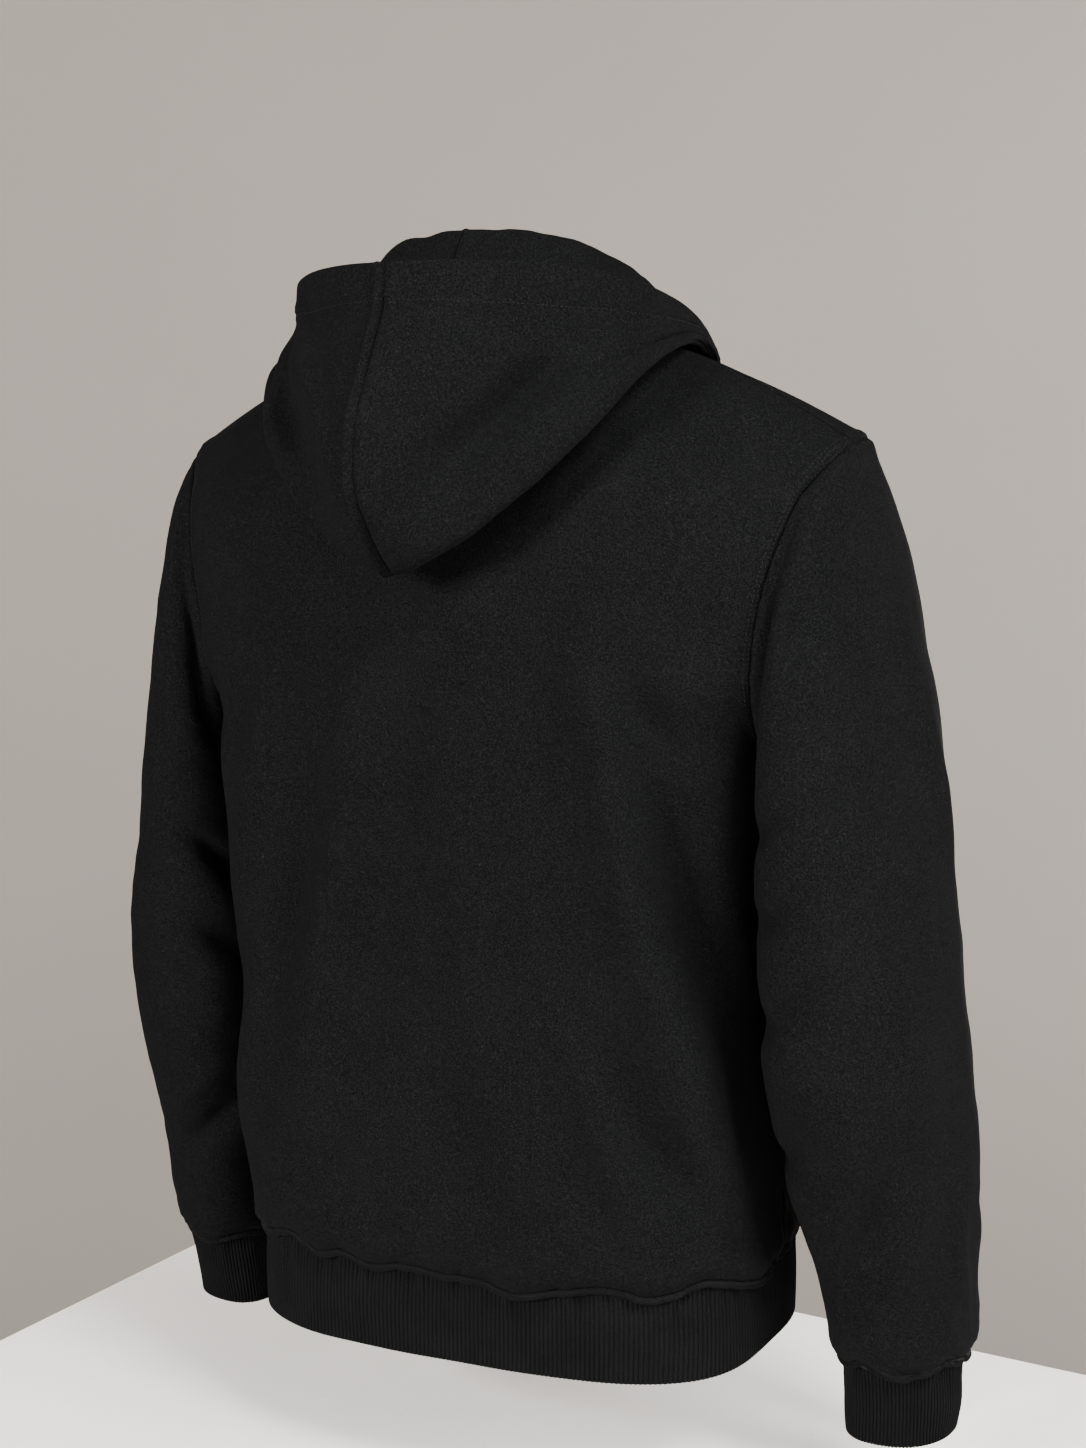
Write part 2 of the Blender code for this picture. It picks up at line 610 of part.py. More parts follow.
def thickened(bm, thickness):
    """Makes a flat sheet into a plate that rises from it."""
    grown = bmesh.ops.extrude_face_region(bm, geom=bm.faces[:])["geom"]
    moved = [g for g in grown if isinstance(g, bmesh.types.BMVert)]
    bmesh.ops.translate(bm, verts=moved, vec=(0, 0, thickness))
    bmesh.ops.recalc_face_normals(bm, faces=bm.faces[:])
    bm.normal_update()


def softened(bm, size):
    """Bevels a hard piece's sharp edges."""
    bmesh.ops.dissolve_limit(bm, angle_limit=math.radians(1), verts=bm.verts[:], edges=bm.edges[:])
    sharp = [edge for edge in bm.edges if edge.calc_face_angle() > math.radians(40)]
    bmesh.ops.bevel(
        bm, geom=sharp, offset=size, segments=2, profile=0.5, affect="EDGES", material=-1
    )


def slider(frame, finish):
    """Two plates joined by a post between the tapes, with a crown over the pull's bar."""
    width, length, top = SLIDER_HALF_WIDTH, SLIDER_HALF_LENGTH, PLATE_INNER + PLATE
    post_x, post_y = POST_HALF_WIDTH, POST_HALF_LENGTH
    bm = bmesh.new()
    cells(
        bm,
        (-width, -post_x, post_x, width),
        (-length, -CROWN_OUTER, -CROWN_INNER, -post_y, post_y, CROWN_INNER, CROWN_OUTER, length),
        PLATE_INNER,
    )
    thickened(bm, PLATE)
    low, high = (-post_x, -post_y, -1.0), (post_x, post_y, PLATE_INNER + 1e-5)
    grow(bm, (0, 0, -2 * PLATE_INNER), low, high)
    grow(bm, (0, 0, -PLATE), low, (post_x, post_y, 0))
    back_low, back_high = (-1, -1, -top), (1, 1, -PLATE_INNER)
    for side in (-1, 1):
        grow(bm, (side * (width - post_x), 0, 0), back_low, back_high)
    for side in (-1, 1):
        grow(bm, (0, side * (length - post_y), 0), back_low, back_high)
    for side in (-1, 1):
        ends = sorted((side * CROWN_INNER, side * CROWN_OUTER))
        low, high = (-post_x, ends[0], 0), (post_x, ends[1], 1)
        grow(bm, (0, 0, CROWN_RISE), low, high)
        grow(bm, (0, 0, CROWN), low, high)
    beam_low, beam_high = (-1, -CROWN_INNER - 1e-5, top + CROWN_RISE), (1, CROWN_INNER + 1e-5, 1)
    grow(bm, (0, CROWN_INNER, 0), beam_low, beam_high)
    grow(bm, (0, -CROWN_INNER, 0), beam_low, beam_high)
    middle = [
        f for f in bm.faces
        if abs(f.calc_center_median().y) < 1e-6 and abs(f.normal.y) > 0.9
        and f.calc_center_median().z > top + CROWN_RISE
    ]
    bmesh.ops.delete(bm, geom=middle, context="FACES")
    bmesh.ops.remove_doubles(bm, verts=bm.verts[:], dist=1e-6)
    bmesh.ops.recalc_face_normals(bm, faces=bm.faces[:])
    softened(bm, 0.00025)
    bmesh.ops.transform(bm, matrix=frame, verts=bm.verts[:])
    return add_object("zip_slider", bm, finish)


def pull(frame, finish):
    """A flat tab that hangs from a bar, with its origin on the bar's axis."""
    eye, arm, half = PULL_EYE_HALF, PULL_EYE_HALF + PULL_ARM, PULL_HALF_WIDTH
    bar = PULL_THICKNESS / 2
    bm = bmesh.new()
    cells(bm, (-arm, -eye, eye, arm), (-PULL_EYE_LENGTH, -bar, bar), -bar)
    hole = [
        f for f in bm.faces
        if abs(f.calc_center_median().x) < eye / 2 and f.calc_center_median().y < -bar
    ]
    bmesh.ops.delete(bm, geom=hole, context="FACES")
    thickened(bm, PULL_THICKNESS)
    tab_top = -PULL_EYE_LENGTH
    bottom = tab_top - PULL_NECK
    for side in (-1, 1):
        ends = sorted((side * eye, side * arm))
        grow(bm, (0, -PULL_NECK, 0), (ends[0], tab_top - 1e-5, -1), (ends[1], tab_top + 1e-5, 1))
    for side in (-1, 1):
        grow(bm, (-side * eye, 0, 0), (-eye - 1e-5, bottom, -1), (eye + 1e-5, tab_top, 1))
    middle = [
        f for f in bm.faces
        if abs(f.calc_center_median().x) < 1e-6 and abs(f.normal.x) > 0.9
    ]
    bmesh.ops.delete(bm, geom=middle, context="FACES")
    bmesh.ops.remove_doubles(bm, verts=bm.verts[:], dist=1e-6)
    bmesh.ops.recalc_face_normals(bm, faces=bm.faces[:])
    bm.normal_update()
    before = set(bm.verts)
    grow(bm, (0, -PULL_SHOULDER - bottom, 0), (-1, bottom - 1e-5, -1), (1, bottom + 1e-5, 1))
    for vertex in bm.verts:
        if vertex not in before:
            vertex.co.x *= half / arm
    low, high = (-1, -PULL_SHOULDER - 1e-5, -1), (1, -PULL_SHOULDER + 1e-5, 1)
    grow(bm, (0, PULL_SHOULDER - PULL_LENGTH, 0), low, high)
    bmesh.ops.recalc_face_normals(bm, faces=bm.faces[:])
    softened(bm, 0.0003)
    made = add_object("zip_pull", bm, finish)
    made.matrix_world = frame @ Matrix.Translation((0, 0, PULL_AXIS))
    return made


def cloth_grids():
    """Every cloth piece's grid of points, before its edges are drawn back."""
    back_half = body_grid("back_y", BACK_YOKE, BACK_CREST, NECK_MID_BACK, NECK_BACK)
    front = body_grid("front_y", FRONT_YOKE, FRONT_CREST, NECK_MID_FRONT, NECK_FRONT)
    front[: BELOW + 1, -1] = back_half[: BELOW + 1, -1]
    armhole = np.concatenate([back_half[BELOW:, -1], front[BELOW:-1, -1][::-1]])
    around = len(armhole) - 1
    rings = [ring(row, around) for row in rows_of(SLEEVE_SECTIONS, SLEEVE_COLUMNS)]
    sleeve = loft([armhole] + rings, SLEEVE_ROWS)
    cuff = loft([ring(row, around) for row in rows_of(CUFF_SECTIONS, SLEEVE_COLUMNS)], 2)
    cuff[0] = sleeve[-1]
    neck = np.concatenate([back_half[-1, : NECK_BACK + 1], front[-1, :NECK_FRONT][::-1]])
    hood = folded(hood_grid(neck), FOLDS["hood"])
    band_back = loft(body_rows(WAISTBAND_SECTIONS, "back_y", 0.0, NECK_BACK + SHOULDER), 2)
    band_front = loft(body_rows(WAISTBAND_SECTIONS, "front_y", ZIP_HALF, NECK_FRONT + SHOULDER), 2)
    band_front[:, -1] = band_back[:, -1]
    sleeve = folded(sleeve[::-1], FOLDS["sleeve"], tube=True)
    left_front = folded(front[:, ::-1], FOLDS["front"])
    return {
        "back": tilted(folded(both_halves(back_half), FOLDS["back"])),
        "front_left": tilted(left_front),
        "front_right": tilted(mirrored(left_front)),
        "sleeve_left": sleeve,
        "sleeve_right": mirrored(sleeve),
        "cuff_left": cuff[::-1],
        "cuff_right": mirrored(cuff[::-1]),
        "waistband_back": tilted(both_halves(band_back[::-1])),
        "waistband_front_left": tilted(band_front[::-1, ::-1]),
        "waistband_front_right": tilted(mirrored(band_front[::-1, ::-1])),
        "hood_left": hood,
        "hood_right": mirrored(hood),
    }


def main():
    for old in list(bpy.data.objects):
        bpy.data.objects.remove(old, do_unlink=True)

    fleece = material("fleece", (0.012, 0.012, 0.014), 0.92)
    ribbing = material("ribbing", (0.010, 0.010, 0.012), 0.88)
    taping = material("zip_tape", (0.011, 0.011, 0.012), 0.85)
    metal = material("zip_metal", (0.10, 0.10, 0.11), 0.35, 1.0)

    grids = cloth_grids()
    tubes = {name: name.startswith(("sleeve", "cuff")) for name in grids}
    outs = {name: normals(grid, tubes[name]) for name, grid in grids.items()}
    share_seams(grids, outs)
    for name, grid in grids.items():
        ribbed = name.startswith(("cuff", "waistband"))
        wall(
            name,
            drawn_back(grid, outs[name], tubes[name]),
            outs[name],
            RIB if ribbed else CLOTH,
            tubes[name],
            ribbing if ribbed else fleece,
        )
    for side in ("left", "right"):
        panel, band = grids["front_" + side], grids["waistband_front_" + side]
        if side == "right":
            panel, band = mirrored(panel), mirrored(band)
        tape = tape_grid(panel, band)
        if side == "right":
            tape = mirrored(tape)
        wall("zip_tape_" + side, tape, normals(tape, False), TAPE, False, taping)
    frame = zip_frame(grids["front_left"])
    slider(frame, metal)
    pull(frame, metal)


main()
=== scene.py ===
"""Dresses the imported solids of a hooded, zip-fronted fleece sweatshirt as a Blender 4.5 add-on.

Axes, in metres: +X is the wearer's left, -Y is the front, +Z is up. The cloth is worked out again from
the named sections that its solids have, far more finely, and folds, seams and stitches are laid on it.
"""

import math

import bmesh
import bpy
import numpy as np
from mathutils import Matrix, Vector


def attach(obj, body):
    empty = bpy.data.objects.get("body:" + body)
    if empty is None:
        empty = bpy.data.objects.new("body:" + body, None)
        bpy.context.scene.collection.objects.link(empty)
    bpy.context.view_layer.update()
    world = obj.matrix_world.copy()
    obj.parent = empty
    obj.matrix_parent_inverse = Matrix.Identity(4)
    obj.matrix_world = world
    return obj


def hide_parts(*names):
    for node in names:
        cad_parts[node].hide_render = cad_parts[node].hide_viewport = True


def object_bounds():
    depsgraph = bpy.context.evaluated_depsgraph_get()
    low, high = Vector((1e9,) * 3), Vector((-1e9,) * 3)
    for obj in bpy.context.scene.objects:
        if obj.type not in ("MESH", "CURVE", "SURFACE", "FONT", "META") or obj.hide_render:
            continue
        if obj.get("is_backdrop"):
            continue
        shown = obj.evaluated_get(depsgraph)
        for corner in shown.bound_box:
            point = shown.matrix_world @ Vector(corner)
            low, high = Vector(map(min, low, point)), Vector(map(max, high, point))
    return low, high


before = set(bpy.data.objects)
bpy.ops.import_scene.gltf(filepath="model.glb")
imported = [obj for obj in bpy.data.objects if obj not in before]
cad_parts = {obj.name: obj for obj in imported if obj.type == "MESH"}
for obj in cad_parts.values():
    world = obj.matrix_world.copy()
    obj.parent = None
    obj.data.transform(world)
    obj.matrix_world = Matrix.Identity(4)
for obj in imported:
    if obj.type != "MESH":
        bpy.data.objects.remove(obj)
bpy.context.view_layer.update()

bl_info = {
    "name": "Hooded fleece sweatshirt",
    "version": (1, 0, 0),
    "blender": (4, 5, 0),
    "location": "3D View > Sidebar > Sweatshirt",
    "description": "Brushed cloth, ribbing, stitches and zip on the packed solids of a hooded sweatshirt",
    "category": "Object",
}


# ---------------------------------------------------------------- dimensions that the solids have too
SEAM_GAP = 0.0003  # between two pieces along a seam
ZIP_HALF = 0.0052  # from the middle of the zip to a front's edge
TAPE_HALF = 0.0019  # from the middle of the zip to a tape's edge
TAPE_DEPTH = 0.0022  # the middle of a tape lies this far inside the middle of the cloth
TAPE_END = 0.0030  # the tapes stop this far short of the neck seam
SLIDER_DROP = 0.030  # from the neck seam down to the slider's middle
NECK_BACK = 5  # columns of the half back along the neckline
NECK_FRONT = 6  # columns of a front along the neckline
SHOULDER = 4  # columns along a shoulder seam
BELOW = 9  # rows from the hem to the armpit
ABOVE = 9  # rows from the armpit to the shoulder seam
SLEEVE_ROWS = 16
HOOD_ROWS = (2, 2, 2, 1, 1, 1, 2, 1, 1)  # rows between one named line of the hood and the next

# ---------------------------------------------------------------- how finely the cloth is worked
SECTION_POINTS = 240  # points that a section is worked out at before it is divided
EASING_FINER = 8
RIB_COLUMNS = 6  # columns of cloth to one rib
# places of the extra rows and columns beside hems and seams, in rows or columns of the solids
HEM_ROWS = (0.018, 0.04, 0.063, 0.086, 0.107, 0.147, 0.17, 0.20, 0.235, 0.28, 0.32)
EDGE_COLUMNS = (0.02, 0.045, 0.075, 0.165, 0.205, 0.30, 0.34)
CENTRE_COLUMNS = (0.012, 0.025, 0.055, 0.09, 0.165, 0.205)
HOOD_HEM_SHARE = 12 / 13  # how far up the hood its hem's stitches run

# ---------------------------------------------------------------- the stage
FLOOR_GAP = 0.045  # the garment is held this far above the floor
FLOOR_CORNERS = ((0.418, -0.32), (0.60, 2.60), (-2.70, -0.17))
CAMERA_PLACE = (-0.6527, 1.2387, -0.03)
CAMERA_TURN = (83.0, 0.0, 207.0)
CAMERA_LENS = 50.84
ROOM_RADIUS = 3.4  # the studio's round wall
ROOM_HEIGHTS = (-2.2, 3.2)
# place, aim, width and length, power in watts, colour
LIGHTS = {
    "key": ((1.2, 2.56, 0.5), (0, 0, -0.22), (0.8, 0.8), 208.0, (1.0, 0.99, 0.97)),
    "high": ((-1.9, 1.0, 1.8), (0, 0, -0.1), (0.8, 0.8), 140.0, (1.0, 0.99, 0.98)),
    "edge": ((-2.75, 0.1, 0.9), (0, 0, -0.1), (0.9, 0.9), 122.0, (0.98, 0.99, 1.0)),
    "front": ((0.4, -2.6, -0.3), (0, 0, -0.35), (1.6, 1.0), 60.0, (1.0, 0.99, 0.97)),
    "floor": ((-1.15, 0.75, 0.0), (-1.0, 0.6, -0.72), (0.8, 0.8), 13.0, (1.0, 0.99, 0.97)),
    "wall": ((-2.3, -1.2, -0.1), (-2.0, -3.0, -0.5), (1.2, 1.2), 120.0, (1.0, 0.97, 0.93)),
}

# ---------------------------------------------------------------- the body's sections
# A section runs from the middle of the back or front out to the side seam, which they share.
# The cell next to the side seam is so many times as wide as the others, which takes up the width that
# the armhole cuts away above it.
BODY_COLUMNS = ("side_x", "side_y", "z", "back_y", "front_y", "side_cell")
BODY_SECTIONS = {
    "hem": (0.1860, -0.018, -0.560, 0.097, -0.134, 1.0),
    "roll": (0.1905, -0.017, -0.542, 0.106, -0.143, 1.0),
    "hip": (0.1945, -0.015, -0.497, 0.109, -0.144, 1.0),
    "low_waist": (0.1970, -0.013, -0.437, 0.109, -0.140, 1.1),
    "waist": (0.1950, -0.010, -0.372, 0.109, -0.134, 1.3),
    "ribs": (0.1900, -0.007, -0.308, 0.113, -0.129, 1.8),
    "chest": (0.1935, -0.006, -0.256, 0.119, -0.127, 2.4),
    "armpit": (0.2005, -0.006, -0.217, 0.123, -0.125, 2.9),
}
# Above the armpit a section ends on the armhole, which turns less than a quarter of the way round.
YOKE_COLUMNS = ("edge_x", "edge_y", "edge_z", "mid_y", "mid_z", "turn")
BACK_YOKE = {
    "low": (0.2000, 0.042, -0.200, 0.126, -0.186, 78),
    "underarm": (0.2010, 0.072, -0.165, 0.127, -0.150, 68),
    "blade": (0.2055, 0.077, -0.122, 0.126, -0.108, 60),
    "across": (0.2140, 0.074, -0.083, 0.122, -0.068, 56),
    "upper": (0.2225, 0.062, -0.053, 0.116, -0.036, 56),
}
FRONT_YOKE = {
    "low": (0.1995, -0.036, -0.203, -0.124, -0.198, 78),
    "underarm": (0.2000, -0.056, -0.172, -0.123, -0.172, 68),
    "chest": (0.2045, -0.064, -0.132, -0.122, -0.143, 60),
    "across": (0.2140, -0.063, -0.091, -0.119, -0.112, 56),
    "upper": (0.2300, -0.050, -0.052, -0.112, -0.082, 56),
}
# Close to the top a section follows the neckline and the shoulder: a point on the middle, one below
# the neck's side and one on the armhole. Its corner is eased so many times.
CREST_COLUMNS = (
    "mid_y", "mid_z", "side_x", "side_y", "side_z", "edge_x", "edge_y", "edge_z", "easing"
)
BACK_CREST = {
    "below": (0.105, -0.002, 0.112, 0.076, 0.018, 0.2310, 0.049, -0.034, 3),
    "near": (0.092, 0.019, 0.097, 0.046, 0.046, 0.2400, 0.034, -0.020, 1),
}
FRONT_CREST = {
    "below": (-0.106, -0.060, 0.110, -0.062, 0.016, 0.2420, -0.028, -0.025, 3),
    "near": (-0.101, -0.048, 0.097, -0.026, 0.049, 0.2470, -0.004, -0.008, 1),
}
SQUARENESS = 3.3  # of the body's sections: 2 is an ellipse

# The top of a body piece: the neckline, then the shoulder seam.
NECK_MID_BACK = (0.0, 0.080, 0.038)
NECK_SIDE = (0.086, 0.012, 0.061)
NECK_MID_FRONT = (ZIP_HALF, -0.097, -0.036)
SHOULDER_END = (0.2450, 0.018, -0.011)
SHOULDER_DROP = 0.55  # the share of the shoulder's fall that is even, and the rest steepens outwards
TILT_FROM = -0.35  # the height where the body starts to hang unevenly
TILT_OVER = 0.20  # and the height over which that comes in
HEM_TILT = 0.040  # the hem hangs this much lower towards the wearer's left, per metre across

# ---------------------------------------------------------------- the sleeve's sections
# Each is a ring between its inner and its outer end, as deep from front to back as it says. Its back
# leans in towards the body by a share of that depth.
SLEEVE_SQUARENESS = 2.15
SLEEVE_COLUMNS = ("in_x", "in_z", "out_x", "out_z", "y", "half_depth", "lean")
SLEEVE_SECTIONS = {
    "head": (0.2030, -0.2215, 0.2520, -0.034, 0.004, 0.082, 0.10),
    "cap": (0.2050, -0.2280, 0.2645, -0.086, 0.003, 0.086, 0.14),
    "upper_arm": (0.2040, -0.2430, 0.2770, -0.152, 0.004, 0.086, 0.16),
    "biceps": (0.2000, -0.2700, 0.2890, -0.224, 0.004, 0.085, 0.15),
    "above_elbow": (0.1985, -0.3120, 0.2980, -0.292, 0.001, 0.083, 0.14),
    "elbow": (0.2005, -0.3670, 0.3065, -0.358, 0.000, 0.081, 0.17),
    "below_elbow": (0.2040, -0.4270, 0.3125, -0.426, -0.006, 0.077, 0.19),
    "forearm": (0.2110, -0.4920, 0.3160, -0.492, -0.022, 0.069, 0.18),
    "low_forearm": (0.2240, -0.5540, 0.3155, -0.554, -0.036, 0.061, 0.15),
    "fall": (0.2320, -0.5950, 0.3130, -0.595, -0.041, 0.053, 0.15),
    "cuff_seam": (0.2390, -0.6120, 0.3070, -0.612, -0.040, 0.038, 0.20),
}
CUFF_SECTIONS = {
    "cuff_seam": SLEEVE_SECTIONS["cuff_seam"],
    "cuff_middle": (0.2385, -0.6420, 0.3055, -0.642, -0.045, 0.037, 0.20),
    "cuff_end": (0.2380, -0.6720, 0.3030, -0.671, -0.049, 0.0365, 0.20),
}

# ---------------------------------------------------------------- the waistband's sections
WAISTBAND_SECTIONS = {
    "seam": BODY_SECTIONS["hem"],
    "middle": (0.1880, -0.018, -0.590, 0.099, -0.136, 1.0),
    "end": (0.1870, -0.018, -0.622, 0.098, -0.135, 1.0),
}

# ---------------------------------------------------------------- the hood's lines
# Each line runs along a half of the hood, from the centre seam at the back to the zip at the front.
HOOD_STATIONS = ("seam", "nape", "back", "corner", "rear", "side", "shoulder", "throat", "zip")
HOOD_LINES = {
    # from the neck seam the cloth stands up to a ridge round the neck
    "ridge": {
        "seam": (0.000, 0.0665, 0.1240), "nape": (0.030, 0.063, 0.1225),
        "back": (0.055, 0.056, 0.1190), "corner": (0.074, 0.043, 0.1130),
        "rear": (0.088, 0.022, 0.1050), "side": (0.094, -0.006, 0.0950),
        "shoulder": (0.092, -0.045, 0.066), "throat": (0.064, -0.088, 0.018),
        "zip": (ZIP_HALF, -0.105, -0.026),
    },
    # then turns down behind it as the front wall of the pouch
    "front_wall": {
        "seam": (0.000, 0.112, 0.045), "nape": (0.031, 0.108, 0.046),
        "back": (0.059, 0.099, 0.052), "corner": (0.083, 0.083, 0.060),
        "rear": (0.101, 0.056, 0.068), "side": (0.108, 0.022, 0.072),
        "shoulder": (0.106, -0.032, 0.062), "throat": (0.072, -0.095, 0.016),
        "zip": (ZIP_HALF, -0.108, -0.023),
    },
    "bottom": {
        "seam": (0.000, 0.139, -0.068), "nape": (0.028, 0.139, -0.060),
        "back": (0.055, 0.134, -0.042), "corner": (0.081, 0.122, -0.018),
        "rear": (0.105, 0.102, 0.008), "side": (0.121, 0.064, 0.043),
        "shoulder": (0.120, 0.000, 0.055), "throat": (0.080, -0.098, 0.015),
        "zip": (ZIP_HALF, -0.110, -0.021),
    },
    # the lowest and outermost edge of the pouch
    "edge": {
        "seam": (0.000, 0.1650, -0.0905), "nape": (0.030, 0.167, -0.0795),
        "back": (0.060, 0.160, -0.0620), "corner": (0.088, 0.147, -0.0360),
        "rear": (0.1160, 0.124, -0.0040), "side": (0.1360, 0.084, 0.0340),
        "shoulder": (0.1345, 0.014, 0.0530), "throat": (0.088, -0.100, 0.014),
        "zip": (ZIP_HALF, -0.112, -0.019),
    },
    # and from there the outer face climbs back to the face opening
    "belly": {
        "seam": (0.000, 0.203, -0.0460), "nape": (0.028, 0.187, -0.045),
        "back": (0.056, 0.170, -0.036), "corner": (0.085, 0.153, -0.018),
        "rear": (0.1140, 0.129, 0.006), "side": (0.1350, 0.087, 0.039),
        "shoulder": (0.1365, 0.015, 0.0545), "throat": (0.092, -0.101, 0.013),
        "zip": (ZIP_HALF, -0.113, -0.017),
    },
    "face_low": {
        "seam": (0.000, 0.2057, -0.0107), "nape": (0.030, 0.187, -0.012),
        "back": (0.056, 0.170, -0.008), "corner": (0.084, 0.147, 0.004),
        "rear": (0.1140, 0.121, 0.022), "side": (0.1350, 0.083, 0.045),
        "shoulder": (0.1375, 0.013, 0.0560), "throat": (0.095, -0.101, 0.011),
        "zip": (ZIP_HALF, -0.114, -0.015),
    },
    "face_high": {
        "seam": (0.000, 0.187, 0.0370), "nape": (0.030, 0.173, 0.036),
        "back": (0.057, 0.157, 0.037), "corner": (0.085, 0.134, 0.042),
        "rear": (0.1130, 0.107, 0.048), "side": (0.1330, 0.072, 0.055),
        "shoulder": (0.1375, 0.009, 0.0590), "throat": (0.098, -0.100, 0.009),
        "zip": (ZIP_HALF, -0.115, -0.013),
    },
    "hem_line": {
        "seam": (0.000, 0.170, 0.0730), "nape": (0.030, 0.159, 0.0725),
        "back": (0.058, 0.144, 0.0715), "corner": (0.085, 0.123, 0.0700),
        "rear": (0.1100, 0.097, 0.069), "side": (0.1290, 0.062, 0.0660),
        "shoulder": (0.1360, 0.005, 0.0620), "throat": (0.100, -0.098, 0.006),
        "zip": (ZIP_HALF, -0.116, -0.011),
    },
    "rim": {
        "seam": (0.000, 0.1665, 0.0955), "nape": (0.030, 0.156, 0.0965),
        "back": (0.058, 0.141, 0.0965), "corner": (0.084, 0.121, 0.0955),
        "rear": (0.1090, 0.094, 0.0920), "side": (0.1260, 0.057, 0.0840),
        "shoulder": (0.1330, 0.000, 0.0680), "throat": (0.101, -0.095, 0.004),
        "zip": (ZIP_HALF, -0.116, -0.008),
    },
}
# ---------------------------------------------------------------- the folds laid on the cloth
# Each has its height out of the cloth, or below it when negative, its half width, both in metres,
# and the places that it runs through, in shares of the piece across from its first column and up.
FOLD_END = 0.30  # the share of its height that a fold keeps at its ends
FOLD_DEPTH = 1.9  # deepens the folds of the body alike
FOLD_BREADTH = 1.3  # and broadens them
SLEEVE_FOLD_DEPTH = 1.5  # deepens the folds of the sleeves alike
BACK_FOLDS = {
    "right_fall_ridge": (0.0072, 0.017, ((0.236, 0.68), (0.236, 0.57), (0.218, 0.44), (0.213, 0.35),
                                         (0.19, 0.245), (0.148, 0.134), (0.088, 0.037))),
    "right_blade_hollow": (-0.0022, 0.017, ((0.292, 0.676), (0.319, 0.54), (0.301, 0.444), (0.31, 0.366))),
    "right_side_hollow": (-0.0100, 0.024, ((0.20, 0.62), (0.165, 0.50), (0.137, 0.384), (0.11, 0.269), (0.08, 0.15),
                                          (0.05, 0.06))),
    "right_hip_hollow": (-0.0050, 0.012, ((0.282, 0.255), (0.241, 0.181), (0.185, 0.102), (0.134, 0.037))),
    "right_hip_ridge": (0.0030, 0.012, ((0.319, 0.231), (0.278, 0.139), (0.222, 0.051))),
    "seat_hollow": (-0.0016, 0.011, ((0.361, 0.208), (0.315, 0.12), (0.264, 0.042))),
    "middle_ridge": (0.0024, 0.018, ((0.458, 0.532), (0.444, 0.375), (0.44, 0.259), (0.417, 0.167),
                                     (0.384, 0.074))),
    "middle_hollow": (-0.0026, 0.014, ((0.495, 0.199), (0.463, 0.125), (0.421, 0.023))),
    "left_fall_ridge": (0.0046, 0.016, ((0.593, 0.634), (0.625, 0.463), (0.671, 0.338), (0.699, 0.204),
                                        (0.736, 0.102))),
    "left_blade_hollow": (-0.0026, 0.017, ((0.532, 0.574), (0.565, 0.426), (0.602, 0.306), (0.62, 0.204))),
    "left_side_ridge": (0.0050, 0.015, ((0.759, 0.644), (0.773, 0.523), (0.829, 0.407), (0.86, 0.30))),
    "left_side_hollow": (-0.0056, 0.014, ((0.699, 0.5), (0.727, 0.375), (0.769, 0.25))),
    "left_flank": (0.0052, 0.018, ((0.86, 0.56), (0.88, 0.42), (0.88, 0.28))),
    "left_hip": (0.0044, 0.018, ((0.80, 0.26), (0.83, 0.16), (0.88, 0.05))),
    "right_armhole_drag": (-0.0036, 0.012, ((0.093, 0.755), (0.083, 0.694), (0.088, 0.630))),
}
LEFT_FRONT_FOLDS = {
    "side_fall": (-0.0055, 0.024, ((0.25, 0.55), (0.27, 0.32), (0.30, 0.10))),
    "chest_fall": (0.0042, 0.026, ((0.62, 0.50), (0.60, 0.30), (0.60, 0.10))),
    "side_ridge": (0.0042, 0.014, ((0.17, 0.63), (0.19, 0.48), (0.23, 0.30), (0.31, 0.08))),
    "hip_hollow": (-0.0036, 0.012, ((0.40, 0.40), (0.43, 0.27), (0.40, 0.12), (0.44, 0.04))),
    "hip_ridge": (0.0030, 0.011, ((0.48, 0.33), (0.50, 0.20), (0.53, 0.06))),
    "belly_hollow": (-0.0034, 0.012, ((0.72, 0.34), (0.69, 0.20), (0.74, 0.05))),
    "underarm_drag": (-0.0038, 0.010, ((0.06, 0.62), (0.14, 0.60), (0.24, 0.63))),
    "chest_drag": (-0.0026, 0.013, ((0.10, 0.76), (0.20, 0.71), (0.33, 0.70))),
    "zip_ripple": (0.0022, 0.012, ((0.93, 0.56), (0.88, 0.50), (0.86, 0.42))),
    "zip_pinch": (-0.0022, 0.011, ((0.95, 0.24), (0.89, 0.20), (0.85, 0.13))),
}
RIGHT_FRONT_FOLDS = {
    "side_fall": (-0.0055, 0.024, ((0.23, 0.53), (0.28, 0.30), (0.30, 0.11))),
    "chest_fall": (0.0042, 0.026, ((0.60, 0.52), (0.62, 0.30), (0.59, 0.10))),
    "side_ridge": (0.0038, 0.015, ((0.19, 0.60), (0.17, 0.45), (0.24, 0.26), (0.27, 0.07))),
    "hip_hollow": (-0.0034, 0.011, ((0.37, 0.36), (0.41, 0.24), (0.44, 0.10))),
    "belly_ridge": (0.0030, 0.013, ((0.80, 0.40), (0.76, 0.24), (0.80, 0.08))),
    "belly_hollow": (-0.0036, 0.012, ((0.68, 0.30), (0.71, 0.17), (0.67, 0.04))),
    "underarm_drag": (-0.0040, 0.011, ((0.05, 0.64), (0.13, 0.61), (0.22, 0.60), (0.30, 0.63))),
    "chest_drag": (-0.0024, 0.012, ((0.12, 0.80), (0.22, 0.74), (0.30, 0.73))),
    "zip_pinch": (-0.0024, 0.012, ((0.96, 0.40), (0.90, 0.35), (0.88, 0.28))),
    "zip_ripple": (0.0020, 0.011, ((0.94, 0.70), (0.88, 0.66), (0.85, 0.60))),
}
